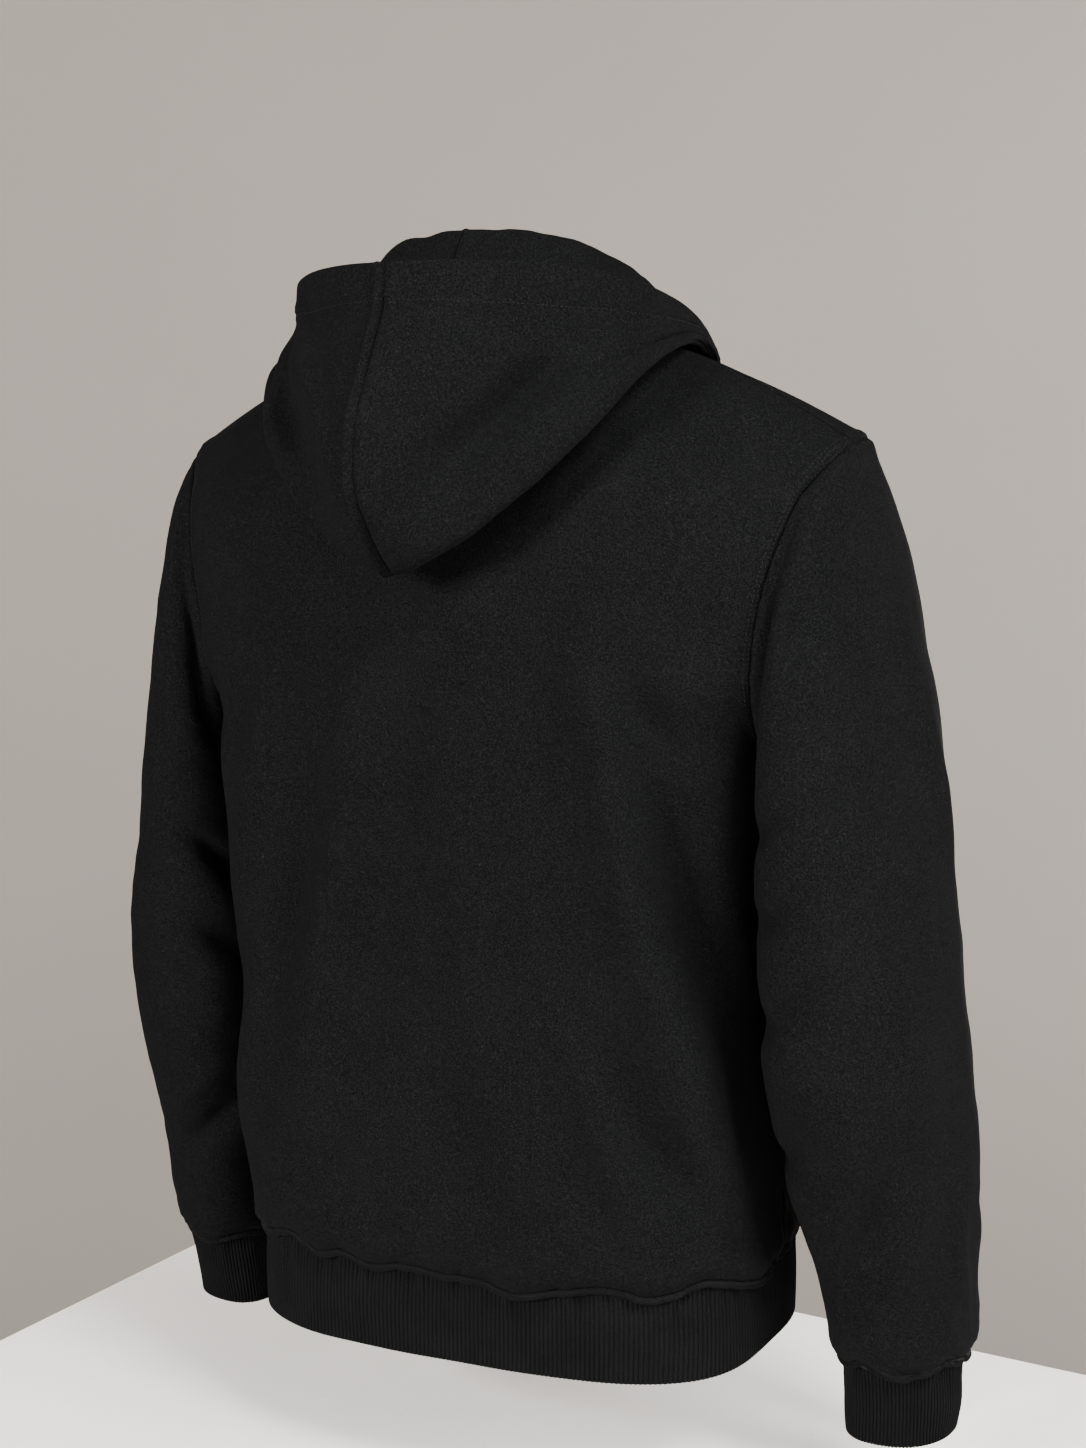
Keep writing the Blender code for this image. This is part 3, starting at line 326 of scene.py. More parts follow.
BOTH_SLEEVES_FOLDS = {
    "outer_ridge": (0.0026, 0.020, ((0.36, 0.62), (0.38, 0.46), (0.40, 0.30))),
    "front_elbow": (-0.0058, 0.017, ((0.70, 0.49), (0.80, 0.50), (0.93, 0.43))),
    "front_forearm": (-0.0040, 0.012, ((0.66, 0.33), (0.78, 0.28), (0.92, 0.32))),
    "front_cuff_fall": (-0.0040, 0.012, ((0.60, 0.20), (0.69, 0.12), (0.80, 0.07))),
    "front_upper_drag": (-0.0036, 0.013, ((0.92, 0.90), (0.86, 0.80), (0.80, 0.68))),
    "top_cuff_ridge": (0.0026, 0.011, ((0.50, 0.25), (0.47, 0.14), (0.50, 0.06))),
}
RIGHT_SLEEVE_FOLDS = {
    "cap_hollow": (-0.0040, 0.019, ((0.324, 0.901), (0.306, 0.875), (0.278, 0.849))),
    "armpit_hollow": (-0.0080, 0.012, ((0.285, 0.975), (0.25, 0.969), (0.22, 0.964), (0.19, 0.955), (0.13, 0.95))),
    "upper_ridge": (0.0036, 0.016, ((0.523, 0.792), (0.565, 0.688), (0.597, 0.594))),
    "cuff_fall": (-0.0070, 0.014, ((0.343, 0.312), (0.287, 0.198), (0.204, 0.104))),
    "cuff_ridge": (0.0030, 0.010, ((0.40, 0.28), (0.35, 0.18), (0.29, 0.09))),
    "inner_notch": (-0.0052, 0.011, ((0.13, 0.60), (0.167, 0.60), (0.231, 0.594))),
    "elbow_hollow": (-0.0052, 0.014, ((0.10, 0.47), (0.144, 0.464), (0.236, 0.50), (0.296, 0.526))),
    "inner_upper_notch": (-0.0040, 0.011, ((0.13, 0.73), (0.167, 0.724), (0.245, 0.714))),
    "inner_forearm": (-0.0042, 0.012, ((0.06, 0.30), (0.14, 0.28), (0.20, 0.33))),
}
LEFT_SLEEVE_FOLDS = {
    "cap_hollow": (-0.0040, 0.013, ((0.282, 0.974), (0.20, 0.96), (0.139, 0.839))),
    "inner_notch": (-0.0066, 0.011, ((0.22, 0.645), (0.165, 0.625), (0.10, 0.568))),
    "elbow_notch": (-0.0058, 0.011, ((0.20, 0.505), (0.15, 0.49), (0.09, 0.469))),
    "elbow_swell": (0.0030, 0.014, ((0.20, 0.56), (0.14, 0.545), (0.08, 0.52))),
    "cuff_fall": (-0.0056, 0.013, ((0.27, 0.135), (0.171, 0.208), (0.097, 0.266))),
    "cuff_ridge": (0.0026, 0.010, ((0.30, 0.19), (0.22, 0.255), (0.14, 0.30))),
}
LEFT_HOOD_FOLDS = {
    "pouch_hollow": (-0.0120, 0.014, ((0.30, 0.88), (0.27, 0.72), (0.21, 0.667), (0.16, 0.63), (0.08, 0.60))),
    "inner_fold": (0.0066, 0.0055, ((0.261, 0.955), (0.189, 0.878), (0.129, 0.795), (0.064, 0.686), (0.03, 0.63))),
    "side_hollow": (-0.0050, 0.013, ((0.34, 0.68), (0.48, 0.76), (0.58, 0.84))),
}
RIGHT_HOOD_FOLDS = {
    "pouch_hollow": (-0.0170, 0.013, ((0.06, 0.60), (0.12, 0.66), (0.174, 0.724), (0.22, 0.776), (0.27, 0.833))),
    "side_hollow": (-0.0040, 0.015, ((0.25, 0.70), (0.40, 0.76), (0.54, 0.84))),
    "pouch_swell": (0.0034, 0.014, ((0.12, 0.60), (0.22, 0.68), (0.33, 0.76))),
}
# how the seams over the ribbing wander: at a share across, so far down in metres, over a share as half width
HEM_SAG = 0.0020
BACK_HEM = (
    (0.055, 0.0085, 0.045), (0.160, -0.0058, 0.028), (0.225, 0.0018, 0.024), (0.285, -0.0042, 0.032),
    (0.397, 0.0060, 0.032), (0.558, -0.0022, 0.032), (0.607, 0.0020, 0.020), (0.655, -0.0040, 0.024),
    (0.700, 0.0010, 0.020), (0.752, -0.0086, 0.038), (0.900, 0.0016, 0.040),
)
LEFT_FRONT_HEM = (
    (0.13, -0.0034, 0.05), (0.27, 0.0042, 0.05), (0.42, -0.0040, 0.06), (0.58, 0.0036, 0.05), (0.74, -0.0034, 0.06),
)
RIGHT_FRONT_HEM = (
    (0.00, 0.0020, 0.08), (0.19, -0.0038, 0.05), (0.34, 0.0030, 0.05), (0.50, -0.0030, 0.05),
    (0.63, 0.0044, 0.05), (0.78, -0.0026, 0.05),
)
LEFT_SLEEVE_HEM = (
    (0.13, -0.0028, 0.04), (0.24, 0.0022, 0.04), (0.36, -0.0036, 0.04), (0.55, 0.0024, 0.05), (0.71, -0.0030, 0.05),
    (0.86, 0.0018, 0.04),
)
RIGHT_SLEEVE_HEM = (
    (0.21, -0.0056, 0.030), (0.31, 0.0016, 0.040), (0.43, -0.0036, 0.030), (0.58, 0.0020, 0.05),
    (0.72, -0.0030, 0.04), (0.87, 0.0022, 0.05),
)
HEMS = {
    "back": BACK_HEM, "front_left": LEFT_FRONT_HEM, "front_right": RIGHT_FRONT_HEM,
    "sleeve_left": LEFT_SLEEVE_HEM, "sleeve_right": RIGHT_SLEEVE_HEM,
}

# ---------------------------------------------------------------- curves and sections
def rows_of(table, columns):
    """The rows of a table, with each value under its column's name."""
    return [dict(zip(columns, row)) for row in table.values()]


def lengths(line):
    """The distance along a line of points, from 0 to its whole length."""
    steps = np.linalg.norm(np.diff(line, axis=0), axis=1)
    return np.concatenate([[0.0], np.cumsum(steps)])


def unit(vectors):
    return vectors / np.maximum(np.linalg.norm(vectors, axis=-1, keepdims=True), 1e-12)


def along_line(line, distances):
    """The points of a line at these distances along it."""
    along = lengths(line)
    return np.stack([np.interp(distances, along, line[:, k]) for k in range(3)], axis=1)


def spaced(line, cells, places, last=1.0):
    """The points of a line at these places, counted in even cells but for a last one so wide."""
    steps = np.append(np.ones(cells - 1), last)
    marks = np.concatenate([[0.0], np.cumsum(steps)]) * lengths(line)[-1] / steps.sum()
    return along_line(line, np.interp(places, np.arange(cells + 1), marks))


def loft(sections, places, counts=None, stations=None):
    """A smooth surface through sections, at these places between the first and the last.

    Places are counted in rows, of which so many lie before each of the stations.
    """
    sections = np.asarray(sections, float)
    steps = np.linalg.norm(np.diff(sections, axis=0), axis=2).mean(axis=1)
    knots = np.concatenate([[0.0], np.cumsum(steps)])
    slopes = np.gradient(sections, knots, axis=0)
    counts = (0, places.max()) if counts is None else counts
    marks = knots[[0, -1]] if stations is None else knots[list(stations)]
    at = np.interp(places, counts, marks)
    i = np.clip(np.searchsorted(knots, at, side="right") - 1, 0, len(knots) - 2)
    step = (knots[i + 1] - knots[i])[:, None, None]
    f = ((at - knots[i]) / (knots[i + 1] - knots[i]))[:, None, None]
    return (
        (1 + 2 * f) * (1 - f) ** 2 * sections[i]
        + f * (1 - f) ** 2 * step * slopes[i]
        + f**2 * (3 - 2 * f) * sections[i + 1]
        - f**2 * (1 - f) * step * slopes[i + 1]
    )


def places_in(cells, finer, low=(), high=()):
    """Places so many times finer than the cells, with more of them close to either end."""
    even = np.linspace(0, cells, cells * finer + 1)
    return np.unique(np.round(np.concatenate([even, low, cells - np.array(high)]), 5))


def half_section(middle, edge, turn, cells, places, last=1.0):
    """A rounded line from the middle of the back or front out to a side seam or an armhole."""
    angle = np.radians(np.linspace(0.0, turn, SECTION_POINTS))
    across = np.sin(angle) ** (2 / SQUARENESS)
    deep = np.cos(angle) ** (2 / SQUARENESS)
    across = across / across[-1]
    deep = (deep - deep[-1]) / (1 - deep[-1])
    x = middle[0] + (edge[0] - middle[0]) * across
    y = edge[1] + (middle[1] - edge[1]) * deep
    z = middle[2] + (edge[2] - middle[2]) * across**2
    return spaced(np.stack([x, y, z], axis=1), cells, places, last)


def top_edge(middle, side, edge, neck_cells, places):
    """A line round the neck from the middle to the neck's side, and then out along the shoulder."""
    angle = np.linspace(0.0, math.pi / 2, SECTION_POINTS)
    neck = np.stack([
        middle[0] + (side[0] - middle[0]) * np.sin(angle),
        side[1] + (middle[1] - side[1]) * np.cos(angle),
        side[2] + (middle[2] - side[2]) * np.cos(angle) ** 1.5,
    ], axis=1)
    share = ((places[places > neck_cells] - neck_cells) / SHOULDER)[:, None]
    fall = SHOULDER_DROP * share + (1 - SHOULDER_DROP) * share**2
    side, edge = np.array(side), np.array(edge)
    seam = side + (edge - side) * np.concatenate([share, share, fall], axis=1)
    return np.concatenate([spaced(neck, neck_cells, places[places <= neck_cells]), seam])


def eased(line, places, times):
    """The line with its corners rounded over as much of a cell each time, and its ends where they were."""
    even = np.linspace(places[0], places[-1], int(round(places[-1])) * EASING_FINER + 1)
    smooth = np.stack([np.interp(even, places, line[:, k]) for k in range(3)], axis=1)
    for _ in range(times * EASING_FINER**2):
        smooth[1:-1] = (smooth[:-2] + 2 * smooth[1:-1] + smooth[2:]) / 4
    return np.stack([np.interp(places, even, smooth[:, k]) for k in range(3)], axis=1)


# ---------------------------------------------------------------- the pieces' surfaces
def body_grid(depth, yoke, crest, neck_middle, neck_cells, rows, columns):
    """Half of the back, or a front: rows from the hem up, columns from the middle outwards."""
    cells = neck_cells + SHOULDER
    middle_x = neck_middle[0]
    below = body_rows(BODY_SECTIONS, depth, middle_x, cells, columns)
    above = []
    for row in rows_of(yoke, YOKE_COLUMNS):
        middle = (middle_x, row["mid_y"], row["mid_z"])
        edge = (row["edge_x"], row["edge_y"], row["edge_z"])
        above.append(half_section(middle, edge, row["turn"], cells, columns))
    near_top = []
    for row in rows_of(crest, CREST_COLUMNS):
        middle = (middle_x, row["mid_y"], row["mid_z"])
        side = (row["side_x"], row["side_y"], row["side_z"])
        edge = (row["edge_x"], row["edge_y"], row["edge_z"])
        line = top_edge(middle, side, edge, neck_cells, columns)
        near_top.append(eased(line, columns, row["easing"]))
    top = top_edge(neck_middle, NECK_SIDE, SHOULDER_END, neck_cells, columns)
    sections = below + above + near_top + [top]
    armpit, last = len(below) - 1, len(sections) - 1
    return loft(sections, rows, (0, BELOW, BELOW + ABOVE), (0, armpit, last))


def body_rows(sections, depth, middle_x, cells, columns):
    """The half sections of the back or the front, or of the waistband below it."""
    return [
        half_section(
            (middle_x, row[depth], row["z"]),
            (row["side_x"], row["side_y"], row["z"]),
            90,
            cells,
            columns,
            row["side_cell"],
        )
        for row in rows_of(sections, BODY_COLUMNS)
    ]


def ring(row, cells, columns):
    """A sleeve's section: from the underarm seam round the back to the top, and on round the front."""
    half = cells // 2
    angle = np.linspace(0.0, 2 * math.pi, 2 * SECTION_POINTS + 1)
    outwards = -np.sign(np.cos(angle)) * np.abs(np.cos(angle)) ** (2 / SLEEVE_SQUARENESS)
    backwards = np.sign(np.sin(angle)) * np.abs(np.sin(angle)) ** (2 / SLEEVE_SQUARENESS)
    x = (row["in_x"] + row["out_x"] + (row["out_x"] - row["in_x"]) * outwards) / 2
    x -= row["lean"] * row["half_depth"] * backwards
    y = row["y"] + row["half_depth"] * backwards
    z = (row["in_z"] + row["out_z"] + (row["out_z"] - row["in_z"]) * outwards) / 2
    line = np.stack([x, y, z], axis=1)
    back, front = line[: SECTION_POINTS + 1], line[SECTION_POINTS:]
    return np.concatenate([
        spaced(back, half, columns[columns <= half]),
        spaced(front, half, columns[columns > half] - half),
    ])


def hood_grid(neck, rows, columns):
    """Half of the hood: rows from the neck seam to the face opening, columns from the back forwards."""
    lines = [neck]
    for points in HOOD_LINES.values():
        stations = np.array([points[name] for name in HOOD_STATIONS])
        lines.append(loft(stations[:, None, :], columns)[:, 0])
    counts = np.concatenate([[0], np.cumsum(HOOD_ROWS)])
    return loft(lines, rows, counts, range(len(lines)))


def tilted(grid):
    """The lower body, hanging lower on the wearer's left."""
    share = np.clip((TILT_FROM - grid[..., 2]) / TILT_OVER, 0, 1)
    moved = grid.copy()
    moved[..., 2] -= HEM_TILT * grid[..., 0] * share
    return moved


def mirrored(grid):
    """The same surface on the wearer's other side, with its columns turned to face the same way."""
    return (grid * (-1, 1, 1))[:, ::-1]


def both_halves(half):
    """A whole piece from its left half, whose first column is on the middle."""
    return np.concatenate([mirrored(half), half[:, 1:]], axis=1)


def steps_across(grid, tube):
    """How the points of each row move on from one column to the next."""
    if tube:
        wrapped = np.concatenate([grid[:, -2:-1], grid, grid[:, 1:2]], axis=1)
        return (wrapped[:, 2:] - wrapped[:, :-2]) / 2
    return np.gradient(grid, axis=1)


def normals(grid, tube=False):
    """The direction out of the cloth at each point of a grid."""
    return unit(np.cross(np.gradient(grid, axis=0), steps_across(grid, tube)))


def smoothed(values, times, tube):
    """Values on a grid, each drawn towards its neighbours so many times."""
    for _ in range(times):
        values = np.concatenate([values[:1], (values[:-2] + 2 * values[1:-1] + values[2:]) / 4, values[-1:]])
        if tube:
            wrapped = np.concatenate([values[:, -2:-1], values, values[:, 1:2]], axis=1)
            values = (wrapped[:, :-2] + 2 * wrapped[:, 1:-1] + wrapped[:, 2:]) / 4
        else:
            middle = (values[:, :-2] + 2 * values[:, 1:-1] + values[:, 2:]) / 4
            values = np.concatenate([values[:, :1], middle, values[:, -1:]], axis=1)
    return values


# ---------------------------------------------------------------- cloth laid on a surface
class Cloth:
    """A surface of cloth: a grid of points, its directions outwards, and distances along it."""

    def __init__(self, grid, tube=False):
        self.grid, self.tube = grid, tube
        self.out = normals(grid, tube)
        right = np.linalg.norm(np.diff(grid, axis=1), axis=2)
        up = np.linalg.norm(np.diff(grid, axis=0), axis=2)
        self.from_left = np.pad(np.cumsum(right, axis=1), ((0, 0), (1, 0)))
        self.from_low = np.pad(np.cumsum(up, axis=0), ((1, 0), (0, 0)))
        self.from_right = self.from_left[:, -1:] - self.from_left
        self.from_high = self.from_low[-1:] - self.from_low
        rows, columns = grid.shape[:2]
        self.wide = self.from_left[rows // 2, -1]
        self.tall = self.from_low[-1, columns // 2]

    def shares(self, across, up):
        """Sets the places of the columns and rows, in shares of the piece."""
        self.across, self.up = np.meshgrid(across / across[-1], up / up[-1])
        return self

    def moved(self, height):
        """The cloth with every point moved outwards by a height of its own."""
        made = Cloth(self.grid + self.out * height[..., None], self.tube)
        made.across, made.up = self.across, self.up
        return made

    def shifted(self, offset):
        """The cloth with every point moved by an offset of its own."""
        made = Cloth(self.grid + offset, self.tube)
        made.across, made.up = self.across, self.up
        return made


def fold_heights(cloth, folds, breadth=1.0):
    """How far a table's folds lift each point of the cloth, or sink it."""
    at = np.stack([cloth.across * cloth.wide, cloth.up * cloth.tall], axis=2)
    turns = (-1, 0, 1) if cloth.tube else (0,)
    height = np.zeros(at.shape[:2])
    for rise, half_width, points in folds.values():
        line = np.array(points) * (cloth.wide, cloth.tall)
        if len(line) > 2:
            line = loft(line[:, None, :], np.linspace(0, 1, 25))[:, 0]
        along = np.concatenate([[0.0], np.cumsum(np.linalg.norm(np.diff(line, axis=0), axis=1))])
        off = np.full(height.shape, 1e9)
        share = np.zeros(height.shape)
        for turn in turns:
            for k in range(len(line) - 1):
                start = line[k] + (turn * cloth.wide, 0)
                run = line[k + 1] - line[k]
                f = np.clip(((at - start) @ run) / (run @ run), 0, 1)
                gap = np.linalg.norm(at - start - f[..., None] * run, axis=2)
                nearer = gap < off
                off = np.where(nearer, gap, off)
                share = np.where(nearer, (along[k] + f * (along[k + 1] - along[k])) / along[-1], share)
        swell = FOLD_END + (1 - FOLD_END) * np.sin(math.pi * share)
        height += rise * np.exp(-((off / half_width / breadth) ** 2)) * swell
    return height


def unevenness(cloth, seed, rise, length, waves=26):
    """Soft rises and hollows of about this length, which lie the same way every time."""
    chance = np.random.default_rng(seed)
    x, y = cloth.across * cloth.wide, cloth.up * cloth.tall
    total = np.zeros(x.shape)
    for _ in range(waves):
        turn, phase = chance.uniform(0, 2 * math.pi, 2)
        rate = 2 * math.pi / (length * chance.uniform(0.7, 1.6))
        if cloth.tube:
            rate_x = np.round(rate * math.cos(turn) * cloth.wide / (2 * math.pi)) * 2 * math.pi / cloth.wide
        else:
            rate_x = rate * math.cos(turn)
        total += np.cos(x * rate_x + y * rate * math.sin(turn) + phase)
    return rise * total / math.sqrt(waves)


def bump(distance, middle, half_width):
    """A rounded ridge across the given distances, 1 high."""
    return np.exp(-(((distance - middle) / half_width) ** 2))


def step_down(distance, at, over):
    """1 before a distance and 0 after it."""
    return 1 - np.clip((distance - at) / over + 0.5, 0, 1) ** 2 * (3 - 2 * np.clip((distance - at) / over + 0.5, 0, 1))

# ---------------------------------------------------------------- the pieces of cloth, finely
def faded(cloth, low=0.0, high=0.0, left=0.0, right=0.0):
    """1 inside the cloth, falling to 0 towards each edge over so many metres."""
    kept = np.ones(cloth.grid.shape[:2])
    for distance, reach in (
        (cloth.from_low, low), (cloth.from_high, high), (cloth.from_left, left), (cloth.from_right, right)
    ):
        if reach:
            share = np.clip(distance / reach, 0, 1)
            kept *= share**2 * (3 - 2 * share)
    return kept


def seamed(cloth, distance, depth=0.0034, width=0.0012):
    """How the cloth turns in along a seam and stands a little full beside it."""
    return bump(distance, 0, width) * -depth + bump(distance, 0.0045, 0.0032) * 0.0006


def puckered(cloth, distance, along, seed, rise=0.00045, length=0.014, reach=0.014):
    """Small uneven gathers that run in from a seam."""
    chance = np.random.default_rng(seed)
    wave = sum(
        np.cos(2 * math.pi * along / (length * rate) + phase)
        for rate, phase in zip((0.7, 1.0, 1.37, 2.1), chance.uniform(0, 2 * math.pi, 4))
    )
    return rise * wave / 2 * bump(distance, 0.003, reach)


def seam_drop(across, piece):
    """How far down the seam over the ribbing lies at these shares across a piece, which face its side seam."""
    drop = HEM_SAG + sum(rise * bump(across, middle, half) for middle, rise, half in HEMS[piece])
    if piece.startswith("front"):
        drop = drop * np.clip((1 - across) / 0.10, 0, 1)
    return drop


def hung(cloth, piece):
    """The cloth's lower edge, turned out and hanging a little over the ribbing below it."""
    drop = seam_drop(cloth.across, piece)
    fade = bump(cloth.from_low, 0, 0.026)
    full = 0.0024 * bump(cloth.from_low, 0.014, 0.008)
    offset = cloth.out * ((0.0022 + np.maximum(drop, 0) * 0.18) * fade + full)[..., None]
    offset[..., 2] -= drop * fade + 0.0014 * bump(cloth.from_low, 0, 0.005)
    return cloth.shifted(offset)


def gathered(cloth, drop):
    """A band's upper edge, drawn up and down to meet the seam above it."""
    offset = np.zeros(cloth.grid.shape)
    offset[..., 2] -= drop * bump(cloth.from_high, 0, 0.026)
    return cloth.shifted(offset)


def welt(distance, sizes):
    """A cord-like roll along a lower edge, where the ribbing is sewn on, and the crease over it."""
    across = np.clip(distance / sizes.welt * 2 - 1, -1, 1)
    roll = sizes.welt_rise * np.sqrt(1 - across**2)
    return roll - 0.0013 * bump(distance, sizes.welt + 0.0009, 0.0011)


def body_pieces(sizes):
    """The back and the fronts, as their cloth, and the armhole and neckline that they make."""
    finer = sizes.fineness
    rows = places_in(BELOW + ABOVE, finer, HEM_ROWS, (0.03, 0.07, 0.17))
    back_columns = places_in(NECK_BACK + SHOULDER, finer, CENTRE_COLUMNS, EDGE_COLUMNS)
    front_columns = places_in(NECK_FRONT + SHOULDER, finer, (0.03, 0.07), EDGE_COLUMNS)
    half = body_grid("back_y", BACK_YOKE, BACK_CREST, NECK_MID_BACK, NECK_BACK, rows, back_columns)
    front = body_grid("front_y", FRONT_YOKE, FRONT_CREST, NECK_MID_FRONT, NECK_FRONT, rows, front_columns)
    below = rows <= BELOW
    front[below, -1] = half[below, -1]
    armhole = np.concatenate([half[rows >= BELOW, -1], front[rows >= BELOW, -1][::-1][1:]])
    around = np.concatenate([rows[rows >= BELOW] - BELOW, (BELOW + 2 * ABOVE - rows[rows >= BELOW])[::-1][1:]])
    neck = np.concatenate([
        half[-1, back_columns <= NECK_BACK],
        front[-1, front_columns <= NECK_FRONT][::-1][1:],
    ])
    neck_columns = np.concatenate([
        back_columns[back_columns <= NECK_BACK],
        (NECK_BACK + NECK_FRONT - front_columns[front_columns <= NECK_FRONT])[::-1][1:],
    ])
    whole = np.concatenate([-back_columns[::-1], back_columns[1:]]) + NECK_BACK + SHOULDER
    across = (NECK_FRONT + SHOULDER - front_columns)[::-1]
    pieces = {"back": Cloth(both_halves(half)).shares(whole, rows)}
    pieces["front_left"] = Cloth(front[:, ::-1]).shares(across, rows)
    pieces["front_right"] = Cloth(front[:, ::-1]).shares(across, rows)
    folds = {"back": BACK_FOLDS, "front_left": LEFT_FRONT_FOLDS, "front_right": RIGHT_FRONT_FOLDS}
    for seed, (name, cloth) in enumerate(pieces.items()):
        sides = dict(left=0.035, right=0.035) if name == "back" else dict(left=0.035, right=0.012)
        height = FOLD_DEPTH * fold_heights(cloth, folds[name], FOLD_BREADTH) + unevenness(cloth, 11 + seed, 0.0007, 0.085)
        height += unevenness(cloth, 31 + seed, 0.00022, 0.026)
        cloth = cloth.moved(height * faded(cloth, low=0.016, high=0.050, **sides))
        above = np.clip((cloth.up * (BELOW + ABOVE) - BELOW) / 0.5, 0, 1)
        side = np.minimum(cloth.from_left, cloth.from_right) if name == "back" else cloth.from_left
        sink = seamed(cloth, side, 0.0042, 0.0015) + seamed(cloth, cloth.from_high)
        sink += puckered(cloth, side, cloth.from_low, 51 + seed, 0.00014 + 0.0003 * (1 - above))
        sink += puckered(cloth, cloth.from_low - 0.008, cloth.from_left, 61 + seed, 0.0006, 0.017, 0.016)
        if name != "back":
            sink += puckered(cloth, cloth.from_right, cloth.from_low, 71 + seed, 0.0004, 0.022, 0.012)
            sink -= 0.0006 * bump(cloth.from_right, 0, 0.0016)
        cloth = hung(cloth.moved(sink), name)
        grid = cloth.grid if name != "front_right" else mirrored(cloth.grid)
        made = Cloth(tilted(grid))
        turned = name == "front_right"
        made.across = 1 - cloth.across[:, ::-1] if turned else cloth.across
        made.up = cloth.up
        side = made.from_right if turned else side
        band = 0.0005 * above * step_down(side, sizes.armhole_band, 0.0016)
        made.rise = welt(made.from_low, sizes) + band
        made.edge = made.from_low
        pieces[name] = made
    return pieces, armhole, around, neck, neck_columns


def sleeve_piece(name, armhole, around, sizes, seed):
    """A sleeve as its cloth, from the cuff up to the armhole."""
    finer = sizes.fineness
    rows = places_in(SLEEVE_ROWS, finer, (0.03, 0.07, 0.16), HEM_ROWS)
    cells = 2 * ABOVE
    rings = [ring(row, cells, around) for row in rows_of(SLEEVE_SECTIONS, SLEEVE_COLUMNS)]
    grid = loft([armhole] + rings, rows)[::-1]
    cloth = Cloth(grid, tube=True).shares(around, (SLEEVE_ROWS - rows)[::-1])
    table = dict(BOTH_SLEEVES_FOLDS, **(LEFT_SLEEVE_FOLDS if name == "sleeve_left" else RIGHT_SLEEVE_FOLDS))
    height = SLEEVE_FOLD_DEPTH * fold_heights(cloth, table) + unevenness(cloth, seed, 0.0008, 0.080)
    height += unevenness(cloth, seed + 1, 0.00022, 0.026)
    cloth = cloth.moved(height * faded(cloth, low=0.014, high=0.030))
    seam = np.minimum(cloth.from_left, cloth.from_right)
    sink = seamed(cloth, cloth.from_high, 0.0042, 0.0017) + 0.0007 * bump(cloth.from_high, 0.008, 0.005)
    sink += seamed(cloth, seam, 0.0010, 0.0016)
    sink += puckered(cloth, cloth.from_high, cloth.from_left, seed + 2, 0.00020)
    sink += puckered(cloth, cloth.from_low - 0.006, cloth.from_left, seed + 3, 0.0004, 0.015, 0.013)
    cloth = hung(cloth.moved(sink), name)
    if name == "sleeve_right":
        made = Cloth(mirrored(cloth.grid), tube=True)
        made.across, made.up = 1 - cloth.across[:, ::-1], cloth.up
        cloth = made
    cloth.rise = welt(cloth.from_low, sizes)
    cloth.edge = cloth.from_low
    return cloth


def hood_piece(name, neck, neck_columns, sizes, seed):
    """Half of the hood as its cloth, from the neck seam up to the face opening."""
    rows = places_in(sum(HOOD_ROWS), sizes.fineness, (0.04, 0.10), (0.02, 0.05, 0.09, 0.16))
    columns = neck_columns
    cloth = Cloth(hood_grid(neck, rows, columns)).shares(columns, rows)
    table = LEFT_HOOD_FOLDS if name == "hood_left" else RIGHT_HOOD_FOLDS
    height = fold_heights(cloth, table) + unevenness(cloth, seed, 0.0007, 0.060)
    height += unevenness(cloth, seed + 1, 0.0002, 0.024)
    cloth = cloth.moved(height * faded(cloth, low=0.030, high=0.022, left=0.020, right=0.050))
    outside = np.clip((cloth.up - 0.45) / 0.08, 0, 1)
    lip = 0.0028 if name == "hood_left" else 0.0
    sink = -0.0085 * bump(cloth.from_left, 0, 0.0016) + lip * bump(cloth.from_left, 0.0040, 0.0018)
    sink += puckered(cloth, cloth.from_left, cloth.from_low, seed + 2, 0.00014, 0.014, 0.008)
    sink += seamed(cloth, cloth.from_low, 0.0008)
    short = np.clip(cloth.from_low[-1:] / 0.12, 0, 1)
    hem = (HOOD_HEM_SHARE - cloth.up) * cloth.tall
    sink += puckered(cloth, np.abs(hem), cloth.from_left, seed + 3, 0.0002, 0.016, 0.008) * short
    cloth = cloth.moved(sink * np.where(cloth.from_left < 0.02, 0.08 + 0.92 * outside, 1.0))
    if name == "hood_right":
        made = Cloth(mirrored(cloth.grid))
        made.across, made.up = 1 - cloth.across[:, ::-1], cloth.up
        cloth, short, hem = made, short[:, ::-1], hem[:, ::-1]
    groove = 0.0006 * bump(hem, 0, 0.0016)
    cloth.rise = (0.0011 * step_down(hem, 0, 0.0026) - groove) * short
    cloth.under = 0.0009 * step_down(hem, 0, 0.0026) * short
    cloth.edge = cloth.from_high
    return cloth


def ribbed(cloth, ribs, sizes, seed, gathers=True):
    """The relief of a rib knit on a band, over its middle surface."""
    turn = cloth.across * ribs * math.pi
    ridge = np.abs(np.cos(turn)) ** 0.7
    relief = sizes.rib_relief * (ridge - 0.62)
    if gathers:
        relief = relief + puckered(cloth, cloth.from_high, cloth.from_left, seed, 0.0011, 0.016, 0.016)
    return relief


